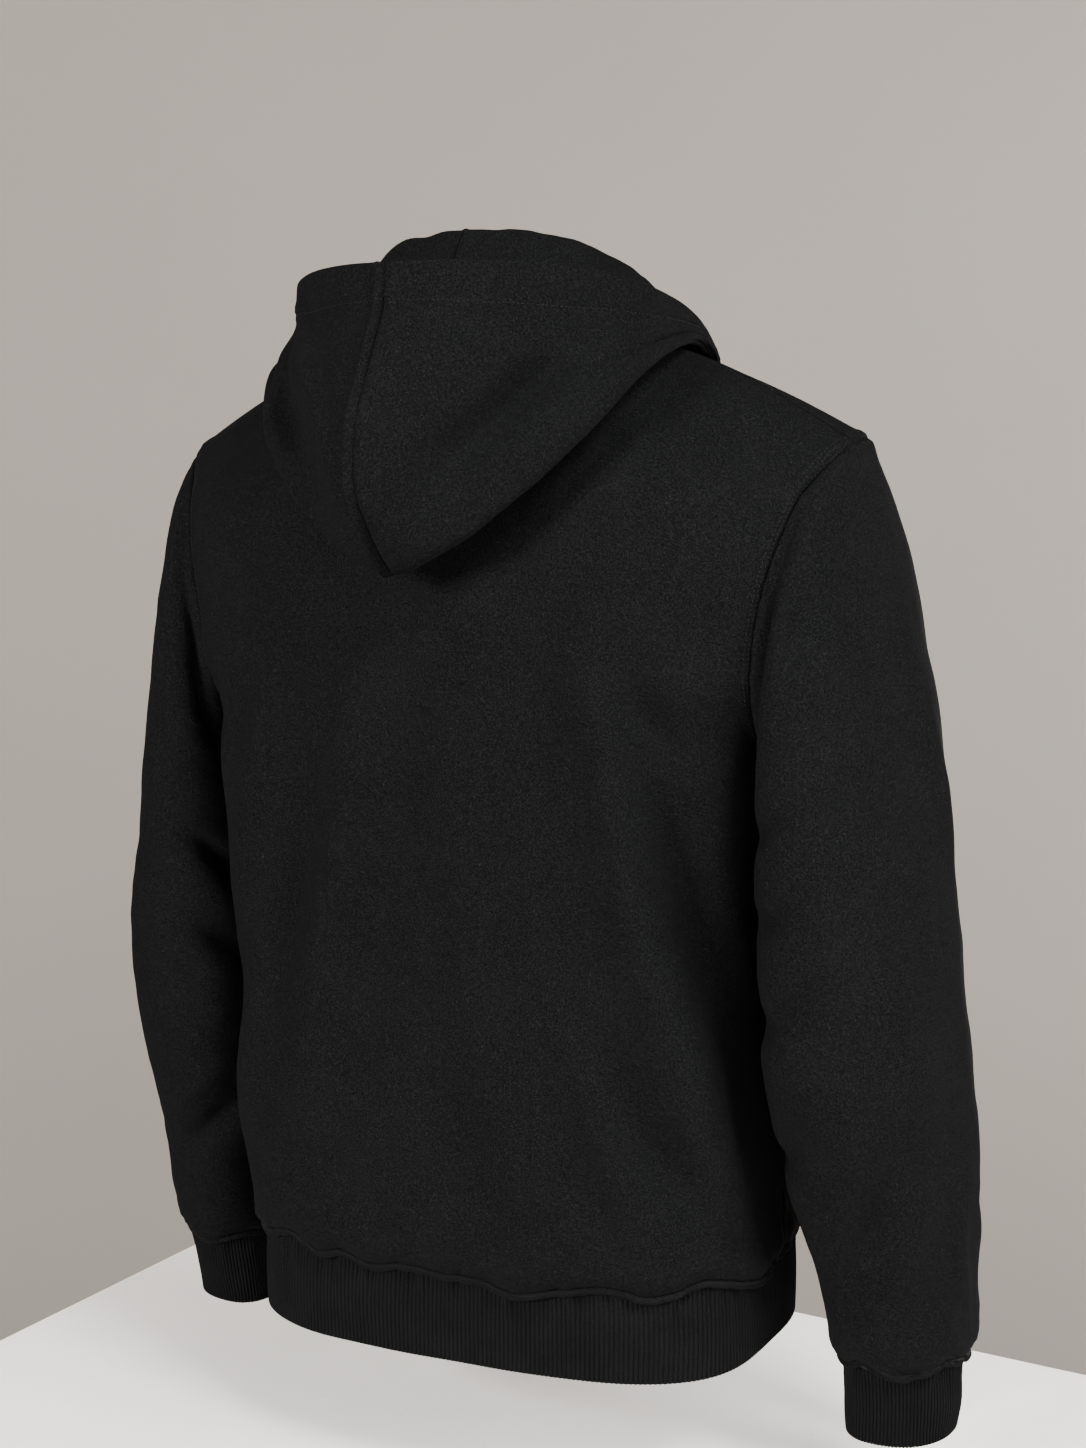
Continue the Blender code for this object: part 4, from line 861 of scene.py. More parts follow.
def band_pieces(sizes):
    """The waistband's three lengths as their cloth, each with its count of ribs."""
    made = {}
    rows = np.array([0.0, 0.06, 0.14, 0.3, 0.5, 0.75, 1.0, 1.25, 1.5, 1.7, 1.84, 1.92, 1.96, 1.985, 2.0])
    for name, depth, middle, cells in (
        ("waistband_back", "back_y", 0.0, NECK_BACK + SHOULDER),
        ("waistband_front_left", "front_y", ZIP_HALF, NECK_FRONT + SHOULDER),
        ("waistband_front_right", "front_y", ZIP_HALF, NECK_FRONT + SHOULDER),
    ):
        coarse = body_rows(WAISTBAND_SECTIONS, depth, middle, cells, np.array([0.0, 1.0, cells]))
        span = sum(lengths(line)[-1] for line in [body_rows(
            WAISTBAND_SECTIONS, depth, middle, cells, np.linspace(0, cells, 60))[1]])
        ribs = int(round(span / sizes.rib_pitch))
        columns = np.linspace(0, cells, ribs * RIB_COLUMNS + 1)
        grid = loft(body_rows(WAISTBAND_SECTIONS, depth, middle, cells, columns), rows)[::-1]
        if name == "waistband_back":
            grid, across, ribs = both_halves(grid), np.concatenate([-columns[::-1], columns[1:]]) + cells, 2 * ribs
        elif name == "waistband_front_left":
            grid, across = grid[:, ::-1], columns
        else:
            grid, across = mirrored(grid[:, ::-1]), columns
        cloth = Cloth(tilted(grid)).shares(across, (2.0 - rows)[::-1])
        lean = unevenness(cloth, 90 + len(made), 0.0006, 0.09) * faded(cloth, low=0.0, high=0.012)
        piece = name.replace("waistband_", "")
        facing = 1 - cloth.across if piece == "front_right" else cloth.across
        cloth = gathered(cloth.moved(lean), seam_drop(facing, piece))
        cloth.rise = ribbed(cloth, ribs, sizes, 81 + len(made))
        cloth.under = cloth.rise
        cloth.edge = cloth.from_low
        made[name] = cloth
    return made


def cuff_piece(name, sizes, seed):
    """A cuff as its cloth, with its ribs."""
    rows = np.array([0.0, 0.06, 0.14, 0.3, 0.5, 0.75, 1.0, 1.25, 1.5, 1.7, 1.84, 1.92, 1.96, 1.985, 2.0])
    cells = 2 * ABOVE
    around = [ring(row, cells, np.linspace(0, cells, 73)) for row in rows_of(CUFF_SECTIONS, SLEEVE_COLUMNS)]
    ribs = int(round(lengths(around[1])[-1] / sizes.cuff_rib_pitch))
    columns = np.linspace(0, cells, ribs * RIB_COLUMNS + 1)
    grid = loft([ring(row, cells, columns) for row in rows_of(CUFF_SECTIONS, SLEEVE_COLUMNS)], rows)[::-1]
    cloth = Cloth(grid, tube=True).shares(columns, (2.0 - rows)[::-1])
    cloth = cloth.moved(unevenness(cloth, seed, 0.0007, 0.05) * faded(cloth, high=0.012))
    cloth = gathered(cloth, seam_drop(cloth.across, name.replace("cuff", "sleeve")))
    if name == "cuff_right":
        made = Cloth(mirrored(cloth.grid), tube=True)
        made.across, made.up = 1 - cloth.across[:, ::-1], cloth.up
        cloth = made
    cloth.rise = ribbed(cloth, ribs, sizes, seed)
    cloth.under = cloth.rise
    cloth.edge = cloth.from_low
    return cloth


# ---------------------------------------------------------------- meshes
def layers(cloth, thickness, rounded):
    """The outer and the inner layer of points of a piece, drawn together at its open edge."""
    half = np.full(cloth.grid.shape[:2], thickness / 2)
    if rounded:
        far = 1 - np.clip(cloth.edge / rounded, 0, 1)
        half = half * np.sqrt(np.clip(1 - 0.9 * far**2, 0, 1))
    outer = cloth.grid + cloth.out * (half + cloth.rise)[..., None]
    inner = cloth.grid - cloth.out * (half + getattr(cloth, "under", 0.0))[..., None]
    return outer, inner


def drawn_back(layer, out, tube, gap):
    """A layer with its edges drawn back by half of the gap between sewn pieces."""
    moved = layer.copy()
    pull = unit(layer[1] - layer[0]), unit(layer[-2] - layer[-1])
    moved[0] += pull[0] * gap / 2
    moved[-1] += pull[1] * gap / 2
    if not tube:
        moved[:, 0] += unit(layer[:, 1] - layer[:, 0]) * gap / 2
        moved[:, -1] += unit(layer[:, -2] - layer[:, -1]) * gap / 2
    return moved


def cloth_object(name, cloth, thickness, finish, rounded=0.0):
    """A closed shell of cloth, with a UV map that runs in metres along it."""
    outer, inner = layers(cloth, thickness, rounded)
    outer = drawn_back(outer, cloth.out, cloth.tube, SEAM_GAP)
    inner = drawn_back(inner, cloth.out, cloth.tube, SEAM_GAP)
    cloth.outer = outer
    rows, columns = cloth.grid.shape[:2]
    bm = bmesh.new()
    bmesh.ops.create_grid(bm, x_segments=columns - 1, y_segments=rows - 1, size=1.0)
    number = bm.verts.layers.int.new("number")
    spread = bm.loops.layers.uv.new("cloth")
    flat = np.stack([cloth.across * cloth.wide, cloth.up * cloth.tall], axis=2).reshape(-1, 2)
    below, above = inner.reshape(-1, 3), outer.reshape(-1, 3)
    for k, vertex in enumerate(bm.verts):
        vertex[number] = k
        vertex.co = below[k]
    for face in bm.faces:
        for loop in face.loops:
            loop[spread].uv = flat[loop.vert[number]]
    if cloth.tube:
        bmesh.ops.remove_doubles(bm, verts=bm.verts[:], dist=1e-6)
    grown = bmesh.ops.extrude_face_region(bm, geom=bm.faces[:])["geom"]
    for vertex in grown:
        if isinstance(vertex, bmesh.types.BMVert):
            vertex.co = above[vertex[number]]
    bmesh.ops.recalc_face_normals(bm, faces=bm.faces[:])
    return mesh_object(name, bm, finish)


def mesh_object(name, bm, finish, sharp=60):
    """A finished object from a bmesh, shaded smooth between faces that meet at less than an angle."""
    mesh = bpy.data.meshes.new(name)
    bm.to_mesh(mesh)
    bm.free()
    mesh.materials.append(finish)
    mesh.shade_smooth()
    mesh.set_sharp_from_angle(angle=math.radians(sharp))
    made = bpy.data.objects.new(name, mesh)
    bpy.context.collection.objects.link(made)
    return made


# ---------------------------------------------------------------- stitches
def beside(cloth, edge, distance, first=0.0, last=1.0):
    """A line on the outside of the cloth, so far in from an edge, and the directions out of it."""
    points, outs = cloth.outer, cloth.out
    away = {"left": cloth.from_left, "right": cloth.from_right, "low": cloth.from_low, "high": cloth.from_high}[edge]
    if edge in ("low", "high"):
        points, outs, away = points.transpose(1, 0, 2), outs.transpose(1, 0, 2), away.T
        share = cloth.across[0]
    else:
        share = cloth.up[:, 0]
    if edge in ("right", "high"):
        points, outs, away = points[:, ::-1], outs[:, ::-1], away[:, ::-1]
    kept = (share >= first) & (share <= last)
    line, out = [], []
    reach = distance if np.ndim(distance) else np.full(len(share), distance)
    for row, normal, far, wanted, use in zip(points, outs, away, reach, kept):
        if use:
            line.append([np.interp(wanted, far, row[:, k]) for k in range(3)])
            out.append([np.interp(wanted, far, normal[:, k]) for k in range(3)])
    return np.array(line), unit(np.array(out))


def stitched(line, out, pitch, length):
    """Straight stitches along a line, as their starts, ends and directions outwards."""
    along = lengths(line)
    starts = np.arange(pitch / 2, along[-1] - length, pitch)
    normal = unit(along_line_of(along, out, starts + length / 2))
    return along_line_of(along, line, starts), along_line_of(along, line, starts + length), normal


def along_line_of(along, values, at):
    return np.stack([np.interp(at, along, values[:, k]) for k in range(3)], axis=1)


def whipped(line, out, other, pitch, seed):
    """Short stitches across a strip between two lines, each leaning a little its own way."""
    along, across = lengths(line), lengths(other)
    places = np.arange(pitch / 2, min(along[-1], across[-1]), pitch)
    lean = np.random.default_rng(seed).uniform(-0.25, 0.25, len(places)) * pitch
    normal = unit(along_line_of(along, out, places))
    return along_line_of(along, line, places), along_line_of(across, other, places + lean), normal


def stitches(name, runs, radius, finish):
    """All of these runs of stitches as one object of short rounded beads of thread."""
    bm = bmesh.new()
    for starts, ends, normals_out in runs:
        batch = bmesh.new()
        for start, end, normal in zip(starts, ends, normals_out):
            along = Vector(end - start)
            reach = along.length / 2 + radius * 0.4
            along.normalize()
            out = Vector(normal)
            side = along.cross(out).normalized()
            out = side.cross(along)
            middle = Vector((start + end) / 2) + out * radius * 0.35
            place = Matrix((
                (along.x * reach, side.x * radius, out.x * radius, middle.x),
                (along.y * reach, side.y * radius, out.y * radius, middle.y),
                (along.z * reach, side.z * radius, out.z * radius, middle.z),
                (0.0, 0.0, 0.0, 1.0),
            ))
            bmesh.ops.create_icosphere(batch, subdivisions=1, radius=1.0, matrix=place)
        mesh = bpy.data.meshes.new("run")
        bmesh.ops.recalc_face_normals(batch, faces=batch.faces[:])
        batch.to_mesh(mesh)
        batch.free()
        bm.from_mesh(mesh)
        bpy.data.meshes.remove(mesh)
    return mesh_object(name, bm, finish, 180)

# ---------------------------------------------------------------- finishes
def finish(name, colour, roughness, metallic=0.0):
    """A material with a principled shader, to which the finishes below add their detail."""
    made = bpy.data.materials.new(name)
    made.use_nodes = True
    shader = made.node_tree.nodes["Principled BSDF"]
    shader.inputs["Base Color"].default_value = (*colour, 1.0)
    shader.inputs["Roughness"].default_value = roughness
    shader.inputs["Metallic"].default_value = metallic
    return made, made.node_tree, shader


def added(tree, kind, inputs, **settings):
    """A node with its settings, and with each input set or linked."""
    node = tree.nodes.new(kind)
    for name, value in settings.items():
        setattr(node, name, value)
    for name, value in inputs.items():
        if isinstance(value, bpy.types.NodeSocket):
            tree.links.new(value, node.inputs[name])
        else:
            node.inputs[name].default_value = value
    return node


def noise(tree, place, scale, detail=2.0, roughness=0.5):
    inputs = {"Vector": place, "Scale": scale, "Detail": detail, "Roughness": roughness}
    return added(tree, "ShaderNodeTexNoise", inputs).outputs["Fac"]


def mapped(tree, value, low, high, to_low=0.0, to_high=1.0):
    """A value stretched from one range to another, and held inside it."""
    inputs = {"Value": value, "From Min": low, "From Max": high, "To Min": to_low, "To Max": to_high}
    return added(tree, "ShaderNodeMapRange", inputs).outputs["Result"]


def blended(tree, share, first, second):
    """A colour between two others."""
    mix = tree.nodes.new("ShaderNodeMix")
    mix.data_type = "RGBA"
    tree.links.new(share, mix.inputs[0])
    for socket, colour in ((mix.inputs[6], first), (mix.inputs[7], second)):
        if isinstance(colour, bpy.types.NodeSocket):
            tree.links.new(colour, socket)
        else:
            socket.default_value = (*colour, 1.0)
    return mix.outputs[2]


def bumped(tree, height, distance, strength, normal=None):
    inputs = {"Height": height, "Distance": distance, "Strength": strength}
    if normal is not None:
        inputs["Normal"] = normal
    return added(tree, "ShaderNodeBump", inputs).outputs["Normal"]


def scaled(colour, by):
    return tuple(min(1.0, c * by) for c in colour[:3])


def fleece_finish(colours):
    """Brushed cloth: a matt nap with a soft sheen, slightly mottled, with pale specks of fluff."""
    colour = tuple(colours.fleece)
    made, tree, shader = finish("brushed_fleece", colour, 0.95)
    place = tree.nodes.new("ShaderNodeTexCoord").outputs["Object"]
    nap = noise(tree, place, 900.0, 1.0, 0.6)
    tufts = noise(tree, place, 420.0, 2.0, 0.6)
    mottle = noise(tree, place, 24.0, 3.0, 0.6)
    shade = blended(tree, mapped(tree, mottle, 0.35, 0.68), scaled(colour, 0.92), scaled(colour, 1.10))
    shade = blended(tree, mapped(tree, nap, 0.30, 0.50, 0.70, 0.0), shade, scaled(colour, 0.40))
    shade = blended(tree, mapped(tree, nap, 0.50, 0.68, 0.0, 0.70), shade, scaled(colour, 2.05))
    fluff = mapped(tree, noise(tree, place, 780.0, 0.0, 0.5), 0.74, 0.84)
    shade = blended(tree, fluff, shade, scaled(colour, 2.6))
    tree.links.new(shade, shader.inputs["Base Color"])
    normal = bumped(tree, tufts, 0.0004, 0.35)
    normal = bumped(tree, nap, 0.0003, 0.6, normal)
    tree.links.new(normal, shader.inputs["Normal"])
    shader.inputs["Specular IOR Level"].default_value = 0.012
    shader.inputs["Sheen Weight"].default_value = 0.003
    shader.inputs["Sheen Roughness"].default_value = 0.6
    shader.inputs["Sheen Tint"].default_value = (0.50, 0.51, 0.55, 1.0)
    return made


def rib_finish(colours):
    """Rib knit: rows of small loops across each rib, on the modelled ribs."""
    colour = tuple(colours.ribbing)
    made, tree, shader = finish("rib_knit", colour, 0.9)
    place = tree.nodes.new("ShaderNodeUVMap")
    place.uv_map = "cloth"
    place = place.outputs["UV"]
    solid = tree.nodes.new("ShaderNodeTexCoord").outputs["Object"]
    loops = added(
        tree, "ShaderNodeTexWave", {"Vector": place, "Scale": 230.0, "Distortion": 1.2, "Detail": 1.0},
        bands_direction="Y",
    ).outputs["Fac"]
    yarn = noise(tree, solid, 1100.0, 3.0, 0.6)
    mottle = noise(tree, solid, 40.0, 3.0, 0.55)
    shade = blended(tree, mapped(tree, mottle, 0.35, 0.68), scaled(colour, 0.8), scaled(colour, 1.3))
    shade = blended(tree, mapped(tree, loops, 0.2, 0.9, 0.0, 0.45), shade, scaled(colour, 1.9))
    shade = blended(tree, mapped(tree, yarn, 0.45, 0.68, 0.0, 0.55), shade, scaled(colour, 2.2))
    tree.links.new(shade, shader.inputs["Base Color"])
    normal = bumped(tree, loops, 0.0004, 0.5)
    normal = bumped(tree, yarn, 0.0003, 0.6, normal)
    tree.links.new(normal, shader.inputs["Normal"])
    shader.inputs["Specular IOR Level"].default_value = 0.012
    shader.inputs["Sheen Weight"].default_value = 0.003
    shader.inputs["Sheen Roughness"].default_value = 0.6
    shader.inputs["Sheen Tint"].default_value = (0.50, 0.51, 0.55, 1.0)
    return made


def thread_finish(colours):
    """Sewing thread: a little smoother than the cloth, with its twist."""
    colour = tuple(colours.thread)
    made, tree, shader = finish("sewing_thread", colour, 0.62)
    place = tree.nodes.new("ShaderNodeTexCoord").outputs["Object"]
    twist = noise(tree, place, 2400.0, 2.0, 0.5)
    shade = blended(tree, mapped(tree, twist, 0.35, 0.65), scaled(colour, 0.7), scaled(colour, 1.6))
    tree.links.new(shade, shader.inputs["Base Color"])
    tree.links.new(bumped(tree, twist, 0.0002, 0.6), shader.inputs["Normal"])
    shader.inputs["Sheen Weight"].default_value = 0.01
    shader.inputs["Specular IOR Level"].default_value = 0.06
    return made


def tape_finish(colours):
    """Woven tape: a close herringbone of ribs with a selvedge."""
    colour = tuple(colours.tape)
    made, tree, shader = finish("woven_tape", colour, 0.8)
    place = tree.nodes.new("ShaderNodeTexCoord").outputs["Object"]
    rows = added(
        tree, "ShaderNodeTexWave", {"Vector": place, "Scale": 420.0, "Distortion": 0.6},
        bands_direction="Z",
    ).outputs["Fac"]
    ends = added(
        tree, "ShaderNodeTexWave", {"Vector": place, "Scale": 330.0, "Distortion": 0.6},
        bands_direction="X",
    ).outputs["Fac"]
    weave = added(tree, "ShaderNodeMath", {0: rows, 1: ends}, operation="MAXIMUM").outputs[0]
    shade = blended(tree, mapped(tree, weave, 0.4, 1.0), scaled(colour, 0.7), scaled(colour, 1.7))
    tree.links.new(shade, shader.inputs["Base Color"])
    tree.links.new(bumped(tree, weave, 0.0002, 0.6), shader.inputs["Normal"])
    return made


def metal_finish(colours):
    """Dark nickel plating, a little worn and smudged."""
    colour = tuple(colours.metal)
    made, tree, shader = finish("dark_nickel", colour, 0.34, 1.0)
    place = tree.nodes.new("ShaderNodeTexCoord").outputs["Object"]
    wear = noise(tree, place, 420.0, 4.0, 0.6)
    smudge = noise(tree, place, 90.0, 2.0, 0.5)
    shade = blended(tree, mapped(tree, wear, 0.5, 0.7), scaled(colour, 0.9), scaled(colour, 1.8))
    tree.links.new(shade, shader.inputs["Base Color"])
    tree.links.new(mapped(tree, smudge, 0.3, 0.7, 0.24, 0.46), shader.inputs["Roughness"])
    tree.links.new(bumped(tree, wear, 0.00008, 0.4), shader.inputs["Normal"])
    return made


def stone_finish(colours):
    """The floor: pale honed stone with faint pits."""
    colour = tuple(colours.floor)
    made, tree, shader = finish("pale_floor", colour, 0.6)
    place = tree.nodes.new("ShaderNodeTexCoord").outputs["Object"]
    cloud = noise(tree, place, 5.0, 4.0, 0.6)
    pits = noise(tree, place, 60.0, 5.0, 0.7)
    shade = blended(tree, mapped(tree, cloud, 0.3, 0.7), scaled(colour, 0.95), scaled(colour, 1.04))
    shade = blended(tree, mapped(tree, pits, 0.64, 0.72, 0.0, 0.5), shade, scaled(colour, 0.72))
    tree.links.new(shade, shader.inputs["Base Color"])
    tree.links.new(bumped(tree, pits, 0.0008, 0.25), shader.inputs["Normal"])
    return made


def wall_finish(colours):
    """The backdrop: plain painted wall."""
    colour = tuple(colours.wall)
    made, tree, shader = finish("plain_wall", colour, 0.9)
    place = tree.nodes.new("ShaderNodeTexCoord").outputs["Object"]
    cloud = noise(tree, place, 0.8, 2.0, 0.5)
    shade = blended(tree, mapped(tree, cloud, 0.3, 0.7), scaled(colour, 0.97), scaled(colour, 1.03))
    tree.links.new(shade, shader.inputs["Base Color"])
    return made


# ---------------------------------------------------------------- the zip
def zip_edge():
    """The left tape's inner edge from the hem up, its directions up and outwards."""
    rows, columns = np.arange(BELOW + ABOVE + 1.0), np.arange(NECK_FRONT + SHOULDER + 1.0)
    front = body_grid("front_y", FRONT_YOKE, FRONT_CREST, NECK_MID_FRONT, NECK_FRONT, rows, columns)
    band = loft(
        body_rows(WAISTBAND_SECTIONS, "front_y", ZIP_HALF, NECK_FRONT + SHOULDER, columns),
        np.arange(3.0),
    )[::-1]
    joined = tilted(np.concatenate([band[:-1, :2], front[:, :2]]))
    edge = joined[:, 0]
    across = unit(edge - joined[:, 1])
    up = unit(np.gradient(edge, axis=0))
    out = unit(np.cross(up, across))
    line = edge - across * (TAPE_HALF - ZIP_HALF) - out * TAPE_DEPTH
    line[-1] -= up[-1] * TAPE_END
    return line, up, out


def place_of(middle, up, out, size):
    """A matrix that puts a unit cube at a place, turned to the zip and sized."""
    across = np.cross(up, out)
    columns = (unit(across) * size[0], up * size[1], out * size[2])
    return Matrix((
        (columns[0][0], columns[1][0], columns[2][0], middle[0]),
        (columns[0][1], columns[1][1], columns[2][1], middle[1]),
        (columns[0][2], columns[1][2], columns[2][2], middle[2]),
        (0.0, 0.0, 0.0, 1.0),
    ))


def bevelled_blocks(name, places, softness, finish_used):
    """Small blocks with bevelled edges, as one object."""
    bm = bmesh.new()
    for group in range(0, len(places), 60):
        batch = bmesh.new()
        for place in places[group: group + 60]:
            bmesh.ops.create_cube(batch, size=1.0, matrix=place)
        bmesh.ops.bevel(
            batch, geom=batch.edges[:], offset=softness, segments=1, profile=0.5, affect="EDGES", material=-1
        )
        bmesh.ops.recalc_face_normals(batch, faces=batch.faces[:])
        mesh = bpy.data.meshes.new("run")
        batch.to_mesh(mesh)
        batch.free()
        bm.from_mesh(mesh)
        bpy.data.meshes.remove(mesh)
    return mesh_object(name, bm, finish_used, 30)


def teeth_places(side, sizes):
    """Where each tooth of one tape goes. They mesh below the slider and stand apart above it."""
    line, up, out = zip_edge()
    if side == "right":
        line, up, out = line * (-1, 1, 1), up * (-1, 1, 1), out * (-1, 1, 1)
    along = lengths(line)
    slider = along[-1] + TAPE_END - SLIDER_DROP
    start = 0.012 + (0.0 if side == "left" else sizes.tooth_pitch / 2)
    places = []
    for at in np.arange(start, along[-1] - 0.006, sizes.tooth_pitch):
        if abs(at - slider) < 0.0064:
            continue
        middle, u, o = (along_line_of(along, v, np.array([at]))[0] for v in (line, up, out))
        tip = -0.0006 if at < slider else 0.0005
        reach = TAPE_HALF + 0.0009 - tip
        toward = 1.0 if side == "left" else -1.0
        middle[0] = toward * (tip + reach / 2)
        places.append(place_of(middle, unit(u), unit(o), (reach, sizes.tooth_pitch * 0.46, 0.0023)))
    return places


# ---------------------------------------------------------------- sizes and colours
class SweatshirtSizes(bpy.types.PropertyGroup):
    """The sizes that a maker would change."""

    fineness: bpy.props.IntProperty(
        name="Fineness", description="Rows of cloth to one row of the solids", default=8, min=2, max=10
    )
    cloth: bpy.props.FloatProperty(
        name="Cloth", description="Thickness of the brushed cloth", default=0.0022, subtype="DISTANCE", unit="LENGTH"
    )
    rib: bpy.props.FloatProperty(
        name="Rib", description="Thickness of the ribbing", default=0.0024, subtype="DISTANCE", unit="LENGTH"
    )
    rib_pitch: bpy.props.FloatProperty(
        name="Rib pitch", description="From one rib of the waistband to the next", default=0.0032,
        subtype="DISTANCE", unit="LENGTH",
    )
    cuff_rib_pitch: bpy.props.FloatProperty(
        name="Cuff rib pitch", description="From one rib of a cuff to the next", default=0.0024,
        subtype="DISTANCE", unit="LENGTH",
    )
    rib_relief: bpy.props.FloatProperty(
        name="Rib relief", description="Height of a rib over its groove", default=0.0010,
        subtype="DISTANCE", unit="LENGTH",
    )
    welt: bpy.props.FloatProperty(
        name="Welt", description="Width of the rolled seams over the ribbing", default=0.0048,
        subtype="DISTANCE", unit="LENGTH",
    )
    welt_rise: bpy.props.FloatProperty(
        name="Welt rise", description="How far the rolled seams stand out", default=0.0020,
        subtype="DISTANCE", unit="LENGTH",
    )
    armhole_band: bpy.props.FloatProperty(
        name="Armhole band", description="Width of the stitched band beside the armhole", default=0.0098,
        subtype="DISTANCE", unit="LENGTH",
    )
    stitch_pitch: bpy.props.FloatProperty(
        name="Stitch pitch", description="From one stitch to the next", default=0.0030,
        subtype="DISTANCE", unit="LENGTH",
    )
    stitch_length: bpy.props.FloatProperty(
        name="Stitch length", description="Length of thread that shows in one stitch", default=0.0017,
        subtype="DISTANCE", unit="LENGTH",
    )
    thread: bpy.props.FloatProperty(
        name="Thread", description="Half of the thread's thickness", default=0.00030,
        subtype="DISTANCE", unit="LENGTH",
    )
    whip_pitch: bpy.props.FloatProperty(
        name="Whip pitch", description="From one stitch over a rolled seam to the next", default=0.0021,
        subtype="DISTANCE", unit="LENGTH",
    )
    tooth_pitch: bpy.props.FloatProperty(
        name="Tooth pitch", description="From one tooth of a tape to the next", default=0.0024,
        subtype="DISTANCE", unit="LENGTH",
    )


class SweatshirtColours(bpy.types.PropertyGroup):
    """The colours of the cloth, thread, zip and stage."""

    fleece: bpy.props.FloatVectorProperty(
        name="Fleece", description="The brushed cloth", default=(0.0033, 0.0034, 0.0036), size=3,
        subtype="COLOR", min=0, max=1,
    )
    ribbing: bpy.props.FloatVectorProperty(
        name="Ribbing", description="The cuffs and the waistband", default=(0.0030, 0.0031, 0.0033), size=3,
        subtype="COLOR", min=0, max=1,
    )
    thread: bpy.props.FloatVectorProperty(
        name="Thread", description="The sewing thread", default=(0.0066, 0.0066, 0.0070), size=3,
        subtype="COLOR", min=0, max=1,
    )
    tape: bpy.props.FloatVectorProperty(
        name="Tape", description="The zip's tapes", default=(0.0044, 0.0044, 0.0047), size=3,
        subtype="COLOR", min=0, max=1,
    )
    metal: bpy.props.FloatVectorProperty(
        name="Metal", description="The zip's slider, pull and teeth", default=(0.10, 0.10, 0.11), size=3,
        subtype="COLOR", min=0, max=1,
    )
    floor: bpy.props.FloatVectorProperty(
        name="Floor", description="The floor", default=(0.93, 0.895, 0.85), size=3,
        subtype="COLOR", min=0, max=1,
    )
    wall: bpy.props.FloatVectorProperty(
        name="Wall", description="The backdrop", default=(0.33, 0.30, 0.272), size=3,
        subtype="COLOR", min=0, max=1,
    )


# the cloth of each piece and the finishes, which later steps lay their own pieces on
CLOTHS = {}
FINISHES = {}


def finish_named(name):
    """A finish, made the first time that it is asked for."""
    makers = {
        "fleece": fleece_finish, "ribbing": rib_finish, "thread": thread_finish, "tape": tape_finish,
        "metal": metal_finish, "floor": stone_finish, "wall": wall_finish,
    }
    if name not in FINISHES:
        FINISHES[name] = makers[name](bpy.context.scene.sweatshirt_colours)
    return FINISHES[name]


def body_cloth():
    """The body's pieces and the edges that they share with the sleeves and the hood, made once."""
    if "body" not in CLOTHS:
        CLOTHS["body"] = body_pieces(bpy.context.scene.sweatshirt_sizes)
    return CLOTHS["body"]


def placed(name, cloth, nodes, thickness, finish_name, slot, flat, area, rounded=0.0, held="hung"):
    """Makes a piece of cloth that stands for its solid and rides with the garment."""
    made = cloth_object(name, cloth, thickness, finish_named(finish_name), rounded)
    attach(made, "garment")
    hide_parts(*nodes)
    CLOTHS[name] = cloth
    return made


class SWEATSHIRT_OT_body(bpy.types.Operator):
    """Make the back and the two fronts"""

    bl_idname = "sweatshirt.body"
    bl_label = "Body panels"

    def execute(self, context):
        sizes = context.scene.sweatshirt_sizes
        pieces = body_cloth()[0]
        flats = {"back": ((0.58, 0.66), 0.318), "front_left": ((0.31, 0.64), 0.156),
                 "front_right": ((0.31, 0.64), 0.154)}
        for name, cloth in pieces.items():
            placed(name + "_panel", cloth, [name], sizes.cloth, "fleece", "fleece", *flats[name], rounded=0.0012)
        return {"FINISHED"}


class SWEATSHIRT_OT_sleeves(bpy.types.Operator):
    """Make the two set-in sleeves"""

    bl_idname = "sweatshirt.sleeves"
    bl_label = "Sleeves"

    def execute(self, context):
        sizes = context.scene.sweatshirt_sizes
        armhole, around = body_cloth()[1:3]
        for seed, name in ((101, "sleeve_left"), (111, "sleeve_right")):
            cloth = sleeve_piece(name, armhole, around, sizes, seed)
            placed(name + "_panel", cloth, [name], sizes.cloth, "fleece", "fleece", (0.44, 0.62), 0.204, 0.0012)
        return {"FINISHED"}


class SWEATSHIRT_OT_hood(bpy.types.Operator):
    """Make the two halves of the hood, which lies back on the shoulders"""

    bl_idname = "sweatshirt.hood"
    bl_label = "Hood"

    def execute(self, context):
        sizes = context.scene.sweatshirt_sizes
        neck, neck_columns = body_cloth()[3:5]
        for seed, name in ((121, "hood_left"), (131, "hood_right")):
            cloth = hood_piece(name, neck, neck_columns, sizes, seed)
            placed(name + "_panel", cloth, [name], sizes.cloth, "fleece", "fleece", (0.36, 0.30), 0.074, 0.0016,
                   "folded")
        return {"FINISHED"}


class SWEATSHIRT_OT_ribbing(bpy.types.Operator):
    """Make the ribbed waistband and cuffs"""

    bl_idname = "sweatshirt.ribbing"
    bl_label = "Ribbing"

    def execute(self, context):
        sizes = context.scene.sweatshirt_sizes
        for name, cloth in band_pieces(sizes).items():
            flat = ((0.52, 0.062), 0.0322) if name == "waistband_back" else ((0.257, 0.062), 0.0159)
            placed(name + "_ribs", cloth, [name], sizes.rib, "ribbing", "ribbing", *flat, 0.0014, "stretched")
        for seed, name in ((141, "cuff_left"), (151, "cuff_right")):
            cloth = cuff_piece(name, sizes, seed)
            placed(name + "_ribs", cloth, [name], sizes.rib, "ribbing", "ribbing", (0.218, 0.061), 0.0132, 0.0014,
                   "stretched")
        return {"FINISHED"}


